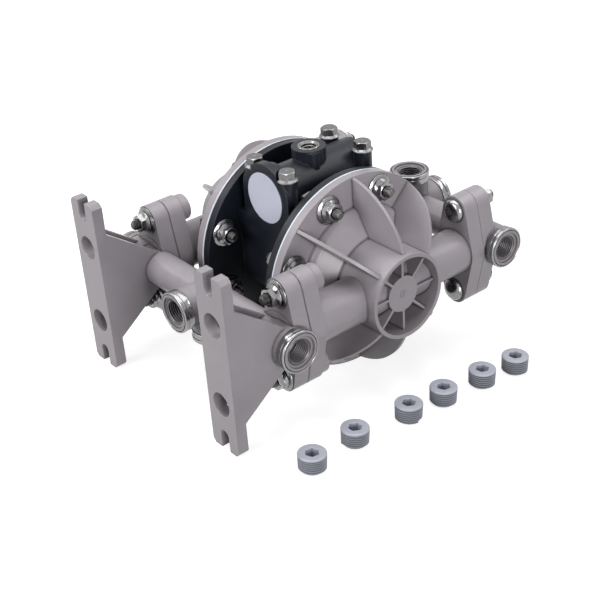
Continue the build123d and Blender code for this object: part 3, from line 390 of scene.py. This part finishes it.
def finish_mesh(mesh, sharp=SMOOTH_BELOW):
    """Merges doubles, turns the faces outwards and shades all but the sharp edges smooth."""
    work = bmesh.new()
    work.from_mesh(mesh)
    bmesh.ops.remove_doubles(work, verts=work.verts, dist=1e-7)
    bmesh.ops.recalc_face_normals(work, faces=work.faces)
    work.to_mesh(mesh)
    work.free()
    for face in mesh.polygons:
        face.use_smooth = True
    mesh.set_sharp_from_angle(angle=sharp)
    return mesh


def ring(radius, z, segments):
    """Points about Z. Radius and z are each a number, or a function of the angle."""
    def at(value, angle):
        return value(angle) if callable(value) else value

    angles = [tau * n / segments for n in range(segments)]
    return [(at(radius, a) * cos(a), at(radius, a) * sin(a), at(z, a)) for a in angles]


def ring_faces(rings, points, closed=True):
    """Faces from each ring to the next and, when closed, from the last to the first."""
    faces = []
    for k in range(rings if closed else rings - 1):
        here, after = k * points, (k + 1) % rings * points
        for n in range(points):
            m = (n + 1) % points
            faces.append((here + n, here + m, after + m, after + n))
    return faces


def ring_mesh(name, rows, sharp=SMOOTH_BELOW):
    """A closed tube of rings."""
    mesh = bpy.data.meshes.new(name)
    verts = [point for row in rows for point in row]
    mesh.from_pydata(verts, [], ring_faces(len(rows), len(rows[0])))
    return finish_mesh(mesh, sharp)


def turned(name, profile, segments=96):
    """A closed ring mesh turned about Z from a closed profile of (radius, height) points."""
    return ring_mesh(name, [ring(r, z, segments) for r, z in profile])


def rounded_corner(centre, radius, start, end, steps=5):
    """Points of an arc in a profile, from one angle to another in degrees."""
    turns = [radians(start + (end - start) * n / steps) for n in range(steps + 1)]
    return [(centre[0] + radius * cos(a), centre[1] + radius * sin(a)) for a in turns]


def piece_from(name, mesh, material, body, slot, *nodes):
    """A finished object from a mesh, riding on its body in place of the CAD nodes it replaces."""
    piece = bpy.data.objects.new(name, mesh)
    bpy.context.collection.objects.link(piece)
    mesh.materials.clear()
    mesh.materials.append(material)
    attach(piece, body)
    if nodes:
        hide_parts(*nodes)
    return piece


def new_tree(name, inputs):
    """A Geometry Nodes tree with a geometry input and these named inputs, given as kinds."""
    tree = bpy.data.node_groups.new(name, "GeometryNodeTree")
    tree.interface.new_socket("Geometry", in_out="INPUT", socket_type="NodeSocketGeometry")
    for label, kind in inputs.items():
        tree.interface.new_socket(label, in_out="INPUT", socket_type="NodeSocket" + kind)
    tree.interface.new_socket("Geometry", in_out="OUTPUT", socket_type="NodeSocketGeometry")
    return tree


def grown(name, seed_mesh, tree, **values):
    """The plain mesh that a tree makes of a seed mesh, with its inputs set by their names."""
    seed = bpy.data.objects.new(name + "_seed", seed_mesh)
    bpy.context.collection.objects.link(seed)
    modifier = seed.modifiers.new("grow", "NODES")
    modifier.node_group = tree
    for item in tree.interface.items_tree:
        label = item.name.lower().replace(" ", "_")
        if item.in_out == "INPUT" and label in values:
            modifier[item.identifier] = values[label]
    depsgraph = bpy.context.evaluated_depsgraph_get()
    mesh = bpy.data.meshes.new_from_object(seed.evaluated_get(depsgraph))
    mesh.name = name
    bpy.data.objects.remove(seed)
    return mesh


def places_mesh(name, places):
    """Points for set_out: each place is a position and a turn, kept as an attribute."""
    mesh = bpy.data.meshes.new(name)
    mesh.from_pydata([position for position, turn in places], [], [])
    turns = mesh.attributes.new("turn", "FLOAT_VECTOR", "POINT")
    for n, (position, turn) in enumerate(places):
        turns.data[n].vector = turn.to_euler()
    return mesh


# Sets copies of one piece out at marked places, each turned as its place says
set_out = new_tree("set_out", {"Piece": "Object", "Material": "Material"})
start = add(set_out, "NodeGroupInput")
part = add(set_out, "GeometryNodeObjectInfo", {"Object": start.outputs["Piece"]})
turn = add(set_out, "GeometryNodeInputNamedAttribute", {"Name": "turn"}, data_type="FLOAT_VECTOR")
as_points = add(set_out, "GeometryNodeMeshToPoints", {"Mesh": start.outputs["Geometry"]})
copies = add(set_out, "GeometryNodeInstanceOnPoints", {
    "Points": as_points.outputs[0], "Instance": part.outputs["Geometry"],
    "Rotation": turn.outputs["Attribute"],
})
plain = add(set_out, "GeometryNodeRealizeInstances", {"Geometry": copies.outputs[0]})
coated = add(set_out, "GeometryNodeSetMaterial", {
    "Geometry": plain.outputs[0], "Material": start.outputs["Material"],
})
end = add(set_out, "NodeGroupOutput")
set_out.links.new(coated.outputs[0], end.inputs["Geometry"])


def copies_of(name, mesh, places, material):
    """One mesh of copies of a mesh at these places."""
    pattern = bpy.data.objects.new(name + "_pattern", mesh)
    bpy.context.collection.objects.link(pattern)
    made = grown(name, places_mesh(name + "_places", places), set_out,
                 piece=pattern, material=material)
    bpy.data.objects.remove(pattern)
    return made


def facing(direction, roll=0.0):
    """The turn that takes +Z to a direction, after a roll about +Z."""
    turn = Vector(direction).to_track_quat("Z", "Y").to_matrix()
    return turn @ Matrix.Rotation(roll, 3, "Z")


BAND_R = 16.6 * MM
BAND_IN_R = 14.5 * MM
BAND_L = 8.4 * MM
BAND_STEP = 3.3 * MM
BAND_STEP_H = 0.35 * MM
LIP = 0.9 * MM
rear_r = BAND_R - BAND_STEP_H
band_profile = [
    (BAND_IN_R, -BAND_L), (BAND_IN_R, -1.3 * MM), (BAND_IN_R + 0.42 * MM, -1.2 * MM),
    (BAND_IN_R + 0.55 * MM, -0.2 * MM), (BAND_IN_R + 0.8 * MM, 0.0),
    *rounded_corner((BAND_R - LIP, -LIP), LIP, 90, 0),
    (BAND_R, -BAND_STEP + 0.5 * MM),
    *rounded_corner((BAND_R - 0.4 * MM, -BAND_STEP + 0.4 * MM), 0.4 * MM, 0, -90, 3),
    (rear_r - BAND_STEP_H, -BAND_STEP), (rear_r - BAND_STEP_H, -BAND_STEP - 0.25 * MM),
    *rounded_corner((rear_r - 0.3 * MM, -BAND_STEP - 0.55 * MM), 0.3 * MM, 90, 0, 3),
    *rounded_corner((rear_r - 0.6 * MM, -BAND_L + 0.6 * MM), 0.6 * MM, 0, -90, 3),
]
port_places = []
band_nodes = []
for flow, side in FLOWS.items():
    for port, direction in (("left", (-1, 0, 0)), ("right", (1, 0, 0)),
                            ("middle", (0, side, 0)), ("cross", (0, 0, side))):
        node = f"{flow}_ring_{port}"
        band_nodes.append(node)
        mouth = middle_of(node) + Vector(direction) * BAND_L / 2
        port_places.append((mouth, facing(direction)))
bands = copies_of("port_bands", turned("band", band_profile), port_places, steel)
piece_from("port_bands", bands, steel, "pump", "steel", *band_nodes)


# Gate marks in the hubs
# A low round pip with a ring about it in the middle of each cap's hub, left where the melt ran
# into the mould and the runner was snapped off.
GATE_R = 2.9 * MM
GATE_H = 0.4 * MM
GATE_DIP_R = 1.5 * MM
GATE_TIP_R = 0.15 * MM
HUB_RECESS = 5.6 * MM
pip = turned("gate_pip", [
    (GATE_TIP_R, 0.0), (GATE_R, 0.0), *rounded_corner((GATE_R - GATE_H, 0.0), GATE_H, 0, 90, 4),
    (GATE_DIP_R, GATE_H), (GATE_DIP_R - 0.3 * MM, GATE_H * 0.3), (0.6 * MM, GATE_H * 0.45),
    (GATE_TIP_R, GATE_H * 0.9),
], 40)
gate_places = []
for hand, side in HANDS.items():
    low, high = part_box(f"fluid_cap_{hand}")
    face_x = (high.x if side > 0 else low.x) - side * HUB_RECESS
    gate_places.append((Vector((face_x, pump_middle.y, pump_middle.z)), facing((side, 0, 0))))
piece_from("gate_marks", copies_of("gate_marks", pip, gate_places, grey_plastic), grey_plastic,
           "pump", "grey_plastic")


# Threads in the ports
# Half inch taper pipe threads moulded in the plastic necks, fourteen to the inch. The valley
# between two turns is marked by an attribute, and the materials paint shade into it.

# Sweeps a four sided ridge along a helix: half of it shows, half lies in the wall
thread = new_tree("thread", {"Radius": "Float", "End radius": "Float", "Pitch": "Float",
                             "Length": "Float", "Ridge": "Float", "Steps": "Int",
                             "Material": "Material"})
start = add(thread, "NodeGroupInput")
turns = add(thread, "ShaderNodeMath", {0: start.outputs["Length"], 1: start.outputs["Pitch"]},
            operation="DIVIDE")
helix = add(thread, "GeometryNodeCurveSpiral", {
    "Resolution": start.outputs["Steps"], "Rotations": turns.outputs[0],
    "Start Radius": start.outputs["Radius"], "End Radius": start.outputs["End radius"],
    "Height": start.outputs["Length"],
})
upright = add(thread, "GeometryNodeSetCurveNormal", {"Curve": helix.outputs[0]}, mode="Z_UP")
ridge = add(thread, "GeometryNodeCurvePrimitiveCircle", {"Resolution": 4, "Radius": 1.0},
            mode="RADIUS")
half_pitch = add(thread, "ShaderNodeMath", {0: start.outputs["Pitch"], 1: 0.5},
                 operation="MULTIPLY")
ridge_size = add(thread, "ShaderNodeCombineXYZ", {"X": start.outputs["Ridge"],
                                                  "Y": half_pitch.outputs[0], "Z": 1.0})
# Marks the valleys between turns, for the materials to paint shade into them
ridge_point = add(thread, "GeometryNodeInputPosition")
ridge_across = add(thread, "ShaderNodeSeparateXYZ", {0: ridge_point.outputs[0]})
off_wall = add(thread, "ShaderNodeMath", {0: ridge_across.outputs["X"]}, operation="ABSOLUTE")
valley = add(thread, "ShaderNodeMath", {0: 1.0, 1: off_wall.outputs[0]}, operation="SUBTRACT")
marked = add(thread, "GeometryNodeStoreNamedAttribute", {
    "Geometry": ridge.outputs[0], "Name": "groove", "Value": valley.outputs[0],
}, data_type="FLOAT", domain="POINT")
shaped = add(thread, "GeometryNodeTransform", {"Geometry": marked.outputs[0],
                                               "Scale": ridge_size.outputs[0]})
swept = add(thread, "GeometryNodeCurveToMesh", {
    "Curve": upright.outputs[0], "Profile Curve": shaped.outputs[0], "Fill Caps": True,
})
coated = add(thread, "GeometryNodeSetMaterial", {
    "Geometry": swept.outputs[0], "Material": start.outputs["Material"],
})
end = add(thread, "NodeGroupOutput")
thread.links.new(coated.outputs[0], end.inputs["Geometry"])


def thread_mesh(name, radius, end_radius, pitch, length, ridge, material, steps=40):
    """A helical ridge rising along Z from the origin."""
    made = grown(name, bpy.data.meshes.new(name + "_none"), thread, radius=radius,
                 end_radius=end_radius, pitch=pitch, length=length, ridge=ridge, steps=steps,
                 material=material)
    return finish_mesh(made)


PIPE_PITCH = INCH / 14
PORT_BORE_R = 10.2 * MM
PORT_LIP_DEPTH = 1.4 * MM
PORT_THREAD_L = 14.0 * MM
PORT_RIDGE = 1.3 * MM
# A darker copy of the necks' grey: painted shade down inside the ports' bores
SHADED_THREAD_GREY = (0.205, 0.189, 0.203)
shaded_thread_plastic = moulded_plastic("grey_polypropylene_thread", SHADED_THREAD_GREY, 0.36, edge=0.1,
                                 edge_radius=0.12 * MM, groove=0.9)
port_thread = thread_mesh("port_thread", PORT_BORE_R, PORT_BORE_R, PIPE_PITCH, PORT_THREAD_L,
                          PORT_RIDGE, shaded_thread_plastic)
thread_places = [(mouth - turn @ Vector((0, 0, PORT_LIP_DEPTH + PORT_THREAD_L)), turn)
                 for mouth, turn in port_places]
port_threads = copies_of("port_threads", port_thread, thread_places, shaded_thread_plastic)
piece_from("port_threads", port_threads, shaded_thread_plastic, "pump", "grey_plastic")


# Studs, washers and flanged nuts round the caps
# Eight stainless studs through each cap, the diaphragm's rim and the black disc, with a thick
# dished washer and a flanged nut at both ends. The nuts stop short of the studs' threaded ends.
def capped_mesh(name, rows, low_z, high_z):
    """Rings joined in turn, closed at each end by a fan from a point on the axis."""
    segments = len(rows[0])
    verts = [point for row in rows for point in row] + [(0, 0, low_z), (0, 0, high_z)]
    low_tip, high_tip = len(verts) - 2, len(verts) - 1
    top = low_tip - segments
    faces = ring_faces(len(rows), segments, closed=False)
    for n in range(segments):
        m = (n + 1) % segments
        faces += [(low_tip, m, n), (high_tip, top + n, top + m)]
    mesh = bpy.data.meshes.new(name)
    mesh.from_pydata(verts, [], faces)
    return finish_mesh(mesh)


def solid_of(name, profile, segments=48):
    """A turned solid: its profile starts and ends on the axis."""
    rows = [ring(r, z, segments) for r, z in profile[1:-1]]
    return capped_mesh(name, rows, profile[0][1], profile[-1][1])


def joined(name, *meshes):
    """One mesh of several, kept as separate shells."""
    work = bmesh.new()
    for mesh in meshes:
        work.from_mesh(mesh)
    made = bpy.data.meshes.new(name)
    work.to_mesh(made)
    work.free()
    return made


def moved(mesh, matrix):
    """The mesh itself, put somewhere."""
    mesh.transform(matrix)
    return mesh


NUT_CORNER_START = 0.98                 # share of the flats' half width where corners drop
NUT_CORNER_DROP = radians(28)
NUT_SHARP = radians(24)
NUT_EDGE = 0.12 * MM


def hexagon_r(flats, angle):
    """Distance from the axis to a hexagon's side, at an angle about it."""
    return flats / 2 / cos(angle % (pi / 3) - pi / 6)


def hex_nut(name, flats, flange_r, flange_t, height, bore_r, steps=12):
    """A flanged hexagon nut: domed corners above, a sloping flange below, open bore."""
    corner_start = flats / 2 * NUT_CORNER_START
    drop = tan(NUT_CORNER_DROP)

    def side(angle):
        return hexagon_r(flats, angle)

    def foot_of_side(angle):
        return max(side(angle), flats / 2 + 0.5 * MM)

    def crown_r(angle):
        return min(side(angle), corner_start) - NUT_EDGE

    def crown_z(angle):
        return height - max(0, side(angle) - corner_start) * drop - NUT_EDGE

    outline = [
        (bore_r + 0.5 * MM, 0.0), (flange_r - 0.3 * MM, 0.0), (flange_r, 0.3 * MM),
        (flange_r, flange_t * 0.5), (flange_r - 0.35 * MM, flange_t * 0.5 + 0.3 * MM),
        (foot_of_side, flange_t * 1.25), (side, flange_t * 1.35), (side, crown_z),
        (crown_r, height), (bore_r + 0.55 * MM, height), (bore_r, height - 0.5 * MM),
        (bore_r, 0.4 * MM),
    ]
    return ring_mesh(name, [ring(r, z, 6 * steps) for r, z in outline], NUT_SHARP)


STUD_R = 4.0 * MM
STUD_PITCH = 1.25 * MM
STUD_RIDGE = 0.75 * MM
STUD_CHAMFER = 0.7 * MM
THREAD_END = 0.9 * MM                   # left bare at the tip of a stud
STUD_CIRCLE_R = 66.5 * MM
STUDS = 8
NUT_FLATS = 13.0 * MM
NUT_H = 7.0 * MM
NUT_FLANGE_R = 8.8 * MM
NUT_FLANGE_T = 2.0 * MM
WASHER_R = 11.2 * MM
WASHER_T = 2.2 * MM
WASHER_EDGE = 0.5 * MM
WASHER_HOLE_R = STUD_R + 0.45 * MM
THREAD_SHOWN = 6.2 * MM

washer_profile = [
    (WASHER_HOLE_R, 0.0), (WASHER_R - WASHER_EDGE, 0.0),
    *rounded_corner((WASHER_R - WASHER_EDGE, WASHER_EDGE), WASHER_EDGE, -90, 40, 4),
    (WASHER_R - 1.6 * MM, WASHER_T - 0.45 * MM), (NUT_FLANGE_R - 0.4 * MM, WASHER_T - 0.05 * MM),
    (WASHER_HOLE_R, WASHER_T),
]


def threaded_shank(name, length, plain_l, steps=24):
    """A bolt or stud along Z from the origin, threaded over its last stretch."""
    root_r = STUD_R - STUD_RIDGE
    core = solid_of(name + "_core", [
        (0, 0), (root_r, 0), (root_r, length - STUD_CHAMFER), (root_r - STUD_CHAMFER, length),
        (0, length),
    ], 32)
    ridge_l = length - plain_l - THREAD_END
    ridge = thread_mesh(name + "_ridge", root_r, root_r, STUD_PITCH, ridge_l, STUD_RIDGE,
                        thread_steel, steps)
    moved(ridge, Matrix.Translation((0, 0, plain_l)))
    return joined(name, core, ridge)


stud_nut = hex_nut("stud_nut", NUT_FLATS, NUT_FLANGE_R, NUT_FLANGE_T, NUT_H, STUD_R)
stud_washer = turned("stud_washer", washer_profile, 48)
for hand, side in HANDS.items():
    low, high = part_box(f"cap_studs_{hand}")
    outer_x = high.x if side > 0 else low.x
    washer_low, washer_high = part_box(f"cap_washers_{hand}")
    outer_seat = (washer_high.x if side > 0 else washer_low.x) - side * WASHER_T
    inner_seat = (washer_low.x if side > 0 else washer_high.x) + side * WASHER_T
    seats = {side: outer_seat, -side: inner_seat}
    washers, nuts, shanks = [], [], []
    for n in range(STUDS):
        angle = tau / STUDS * (n + 0.5)
        around = Vector((0, cos(angle), sin(angle))) * STUD_CIRCLE_R
        for way, seat_x in seats.items():
            # Each nut stands at a turn of its own, as a wrench left it
            turn = facing((way, 0, 0), 0.35 * n + (0.9 if way == side else 0.1))
            foot = pump_middle + around + Vector((seat_x, 0, 0))
            washers.append((foot, turn))
            nuts.append((foot + Vector((way * WASHER_T, 0, 0)), turn))
            shanks.append((foot, turn))
    shank_l = abs(outer_x - outer_seat)
    shank = threaded_shank(f"stud_end_{hand}", shank_l, shank_l - THREAD_SHOWN)
    stud_ends = copies_of(f"stud_ends_{hand}", shank, shanks, thread_steel)
    piece_from(f"cap_stud_ends_{hand}", stud_ends, thread_steel, "pump", "steel",
               f"cap_studs_{hand}")
    piece_from(f"cap_washer_set_{hand}",
               copies_of(f"washer_set_{hand}", stud_washer, washers, steel),
               steel, "pump", "steel", f"cap_washers_{hand}")
    piece_from(f"cap_nut_set_{hand}", copies_of(f"nut_set_{hand}", stud_nut, nuts, steel),
               steel, "pump", "steel", f"cap_nuts_{hand}")


# Studs and bolts through the lugs
# Steel studs hold the inlet manifold, and round headed square necked bolts the outlet one, with
# a washer and a flanged nut each on the manifold's lug.
HEAD_R = 9.6 * MM
HEAD_H = 5.8 * MM
HEAD_DOME = 0.75                        # power of the cosine; 1 would be an ellipse
LUG_FASTENERS = {"inlet": ("inlet_studs", STUD_R), "outlet": ("outlet_bolts", HEAD_R)}
for flow, side in FLOWS.items():
    node, widest_r = LUG_FASTENERS[flow]
    low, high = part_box(node)
    washer_low, washer_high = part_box(f"{flow}_washers")
    seat_y = washer_low.y if side > 0 else washer_high.y
    end_y = high.y if side > 0 else low.y
    lug_x = (high.x - low.x) / 2 - widest_r
    lug_z = (high.z - low.z) / 2 - widest_r
    corners = [(x, z) for x in (-lug_x, lug_x) for z in (-lug_z, lug_z)]
    shank_l = abs(end_y - seat_y)
    shank = threaded_shank(f"{flow}_shank", shank_l, shank_l - THREAD_SHOWN)
    feet = [(Vector((x, seat_y, z)), facing((0, side, 0), 0.4 * n + 0.2))
            for n, (x, z) in enumerate(corners)]
    nut_feet = [(foot + Vector((0, side * WASHER_T, 0)), turn) for foot, turn in feet]
    shanks = copies_of(f"{flow}_shanks", shank, feet, thread_steel)
    piece_from(f"{flow}_lug_shanks", shanks, thread_steel, "pump", "steel", node)
    if flow == "outlet":
        dome = [radians(degree) for degree in range(6, 84, 6)]
        head = solid_of("round_head", [
            (0, HEAD_H), *[(HEAD_R * sin(a), HEAD_H * cos(a) ** HEAD_DOME) for a in dome],
            (HEAD_R, 0.6 * MM), (HEAD_R - 0.15 * MM, 0.0), (0, 0.0),
        ])
        heads = [(Vector((x, low.y + HEAD_H, z)), facing((0, -1, 0))) for x, z in corners]
        piece_from("outlet_bolt_heads", copies_of("round_heads", head, heads, steel), steel,
                   "pump", "steel", node)
    piece_from(f"{flow}_washer_set", copies_of(f"{flow}_washer_set", stud_washer, feet, steel),
               steel, "pump", "steel", f"{flow}_washers")
    piece_from(f"{flow}_nut_set", copies_of(f"{flow}_nut_set", stud_nut, nut_feet, steel),
               steel, "pump", "steel", f"{flow}_nuts")


# Bolts on the valve block and the air inlet's bush
# Four flanged hexagon bolts clamp the block, and a steel bush with a quarter inch pipe thread
# is moulded into the boss between them.
BLOCK_FLANGE_R = 8.2 * MM
BLOCK_FLANGE_T = 1.9 * MM
BLOCK_FLATS = 12.0 * MM
BLOCK_HEAD_H = 8.0 * MM
BLOCK_DISH_R = 0.8 * MM
BUSH_BORE_R = 5.9 * MM
BUSH_PITCH = INCH / 18
BUSH_RIDGE = 1.0 * MM
BUSH_THREAD_SHORT = 2.5 * MM            # how much shorter the thread is than the bush

block_low, block_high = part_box("block_bolts")
block_head = hex_nut("block_head", BLOCK_FLATS, BLOCK_FLANGE_R, BLOCK_FLANGE_T, BLOCK_HEAD_H,
                     BLOCK_DISH_R)
dish = solid_of("block_dish", [
    (0, BLOCK_HEAD_H - 0.5 * MM), (1.2 * MM, BLOCK_HEAD_H - 0.5 * MM),
    (1.6 * MM, BLOCK_HEAD_H - 0.9 * MM), (0, 1.0 * MM),
], 24)
block_x = (block_high.x - block_low.x) / 2 - BLOCK_FLANGE_R
block_y = (block_high.y - block_low.y) / 2 - BLOCK_FLANGE_R
head_z = block_high.z - BLOCK_HEAD_H
head_places = []
for n, (x, y) in enumerate(((-1, -1), (-1, 1), (1, -1), (1, 1))):
    spot = Vector((x * block_x, pump_middle.y + y * block_y, head_z))
    head_places.append((spot, facing((0, 0, 1), 0.5 * n + 0.3)))
heads = copies_of("block_bolt_heads", joined("block_bolt", block_head, dish), head_places,
                  dull_steel)
piece_from("block_bolt_heads", heads, dull_steel, "pump", "steel", "block_bolts")

bush_low, bush_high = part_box("air_inlet_insert")
bush_r = (bush_high.x - bush_low.x) / 2
bush_l = bush_high.z - bush_low.z
bush = turned("inlet_bush", [
    (bush_r, 0.0), (bush_r, bush_l - 0.3 * MM), (bush_r - 0.3 * MM, bush_l),
    (BUSH_BORE_R + 1.3 * MM, bush_l), (BUSH_BORE_R + 0.5 * MM, bush_l - 1.2 * MM),
    (BUSH_BORE_R, bush_l - 1.3 * MM), (BUSH_BORE_R, 0.0),
], 64)
bush_thread = thread_mesh("bush_thread", BUSH_BORE_R, BUSH_BORE_R, BUSH_PITCH,
                          bush_l - BUSH_THREAD_SHORT, BUSH_RIDGE, thread_steel)
bush_place = Matrix.Translation((0, pump_middle.y, bush_low.z))
piece_from("inlet_bush", moved(bush, bush_place), steel, "pump", "steel", "air_inlet_insert")
piece_from("inlet_bush_thread", moved(bush_thread, bush_place), thread_steel, "pump", "steel")


# Port plugs
# Six half inch taper plugs in blue grey plastic, taken out of the ports and stood in a row.
# Each has a plain band above its thread and a hexagon socket.
PLUG = (0.37, 0.385, 0.44)
# Painted shade in the valleys of the plug's thread
plug_plastic = moulded_plastic("blue_grey_plastic", PLUG, 0.42, cloud=0.05, edge=0.2,
                               edge_radius=0.15 * MM, groove=0.5)
PLUG_R = 10.7 * MM
PLUG_H = 14.1 * MM
PLUG_BAND = 1.9 * MM
PLUG_RIDGE = 1.35 * MM
PIPE_TAPER = radians(1.79)
PLUG_FOOT_R = PLUG_R - PLUG_H * tan(PIPE_TAPER)
SOCKET_FLATS = 9.5 * MM
SOCKET_DEPTH = 8.0 * MM
SOCKET_BEVEL = 0.35 * MM
SOCKET_TIP = 1.0 * MM                   # the drill's cone below the hexagon
PLUG_SEGMENTS = 72
PLUG_THREAD_LIFT = 0.8 * MM


def plug_mesh():
    """A plug standing on the origin: threaded core, plain band, bevelled rim and hex socket."""
    core_top = PLUG_R - PLUG_RIDGE
    core_foot = PLUG_FOOT_R - PLUG_RIDGE
    band_z = PLUG_H - PLUG_BAND

    def socket(angle):
        return hexagon_r(SOCKET_FLATS, angle)

    def socket_mouth(angle):
        return socket(angle) + SOCKET_BEVEL

    outline = [
        (core_foot - 0.6 * MM, 0.0), (core_foot, 0.6 * MM), (core_top, band_z - 0.4 * MM),
        (PLUG_R - 0.1 * MM, band_z + 0.3 * MM), (PLUG_R, PLUG_H - 1.0 * MM),
        (PLUG_R - 0.25 * MM, PLUG_H - 0.45 * MM), (PLUG_R - 0.9 * MM, PLUG_H),
        (socket_mouth, PLUG_H), (socket, PLUG_H - SOCKET_BEVEL), (socket, PLUG_H - SOCKET_DEPTH),
    ]
    rows = [ring(r, z, PLUG_SEGMENTS) for r, z in outline]
    core = capped_mesh("plug_core", rows, 0, PLUG_H - SOCKET_DEPTH - SOCKET_TIP)
    ridge_l = band_z - 1.0 * MM
    ridge = thread_mesh("plug_ridge", core_foot + 0.05 * MM, core_top, PIPE_PITCH, ridge_l,
                        PLUG_RIDGE, plug_plastic, 48)
    moved(ridge, Matrix.Translation((0, 0, PLUG_THREAD_LIFT)))
    return joined("plug", core, ridge)


plug_nodes = [f"port_plug_{n}" for n in range(1, 7)]
plug_places = []
for n, node in enumerate(plug_nodes):
    foot = middle_of(node) - floor_up * PLUG_H / 2
    plug_places.append((foot, facing(floor_up, 0.7 * n * n + 0.4)))
plugs = copies_of("port_plugs", plug_mesh(), plug_places, plug_plastic)
piece_from("port_plugs", plugs, plug_plastic, "pump", "blue_grey_plastic", *plug_nodes)


# Diaphragm webs
# Each web is clamped at its edge and carried by the rod at its middle, so the real one bends
# between the two; here it is one still shape that stands for its stiff CAD node. A web is made
# of narrow sectors that share their borders, which are then joined.
WEB_SECTORS = 24
WEB_SECTOR_STEPS = 4
WEB_ROLL_STEPS = 12
WEB_X = 43.0 * MM
WEB_T = 3.0 * MM
WEB_ROLL_T = 2.0 * MM
WEB_ROLL_H = 5.0 * MM
WEB_ROLL_IN = 30.0 * MM
WEB_ROLL_OUT = 51.0 * MM
WEB_HOLE_R = 5.2 * MM


def web_outline(edge_r):
    """Section of the right web as (x, r): flat between its plates, one roll, a flat edge."""
    near, far = WEB_X - WEB_ROLL_T / 2, WEB_X + WEB_ROLL_T / 2
    thin, thick = WEB_X - WEB_T / 2, WEB_X + WEB_T / 2
    half = (WEB_ROLL_OUT - WEB_ROLL_IN) / 2
    bend_r = (half ** 2 + WEB_ROLL_H ** 2) / (2 * WEB_ROLL_H)
    spread = degrees(asin(half / bend_r))
    centre_r = (WEB_ROLL_IN + WEB_ROLL_OUT) / 2
    upper = rounded_corner((far + WEB_ROLL_H - bend_r, centre_r), bend_r, -spread, spread,
                           WEB_ROLL_STEPS)
    lower = rounded_corner((near + WEB_ROLL_H - bend_r, centre_r), bend_r, spread, -spread,
                           WEB_ROLL_STEPS)
    return [(thin, WEB_ROLL_IN), (thin, WEB_HOLE_R), (thick, WEB_HOLE_R), (thick, WEB_ROLL_IN),
            *upper, (far, edge_r), (near, edge_r), *lower]


def web_sector(name, side, axis, edge_r, middle_angle):
    """One sector of a web, reaching from the clamped edge to the rod."""
    half = pi / WEB_SECTORS
    outline = web_outline(edge_r)
    verts = []
    for step in range(WEB_SECTOR_STEPS + 1):
        angle = middle_angle + half * (2 * step / WEB_SECTOR_STEPS - 1)
        verts += [(side * x, axis.y + r * cos(angle), axis.z + r * sin(angle))
                  for x, r in outline]
    mesh = bpy.data.meshes.new(name)
    mesh.from_pydata(verts, [], ring_faces(WEB_SECTOR_STEPS + 1, len(outline), closed=False))
    mesh.materials.append(white_elastomer)
    sector = bpy.data.objects.new(name, mesh)
    bpy.context.collection.objects.link(sector)
    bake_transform(sector)
    return sector


for hand, side in HANDS.items():
    web_low, web_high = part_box(f"diaphragm_web_{hand}")
    web_axis = middle_of(f"diaphragm_web_{hand}")
    web_edge_r = (web_high.z - web_low.z) / 2
    sectors = [web_sector(f"web_{hand}_{n}", side, web_axis, web_edge_r, tau * n / WEB_SECTORS)
               for n in range(WEB_SECTORS)]
    with bpy.context.temp_override(active_object=sectors[0], selected_editable_objects=sectors):
        bpy.ops.object.join()
    web = sectors[0]
    web.name = f"bending_web_{hand}"
    finish_mesh(web.data)
    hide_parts(f"diaphragm_web_{hand}")
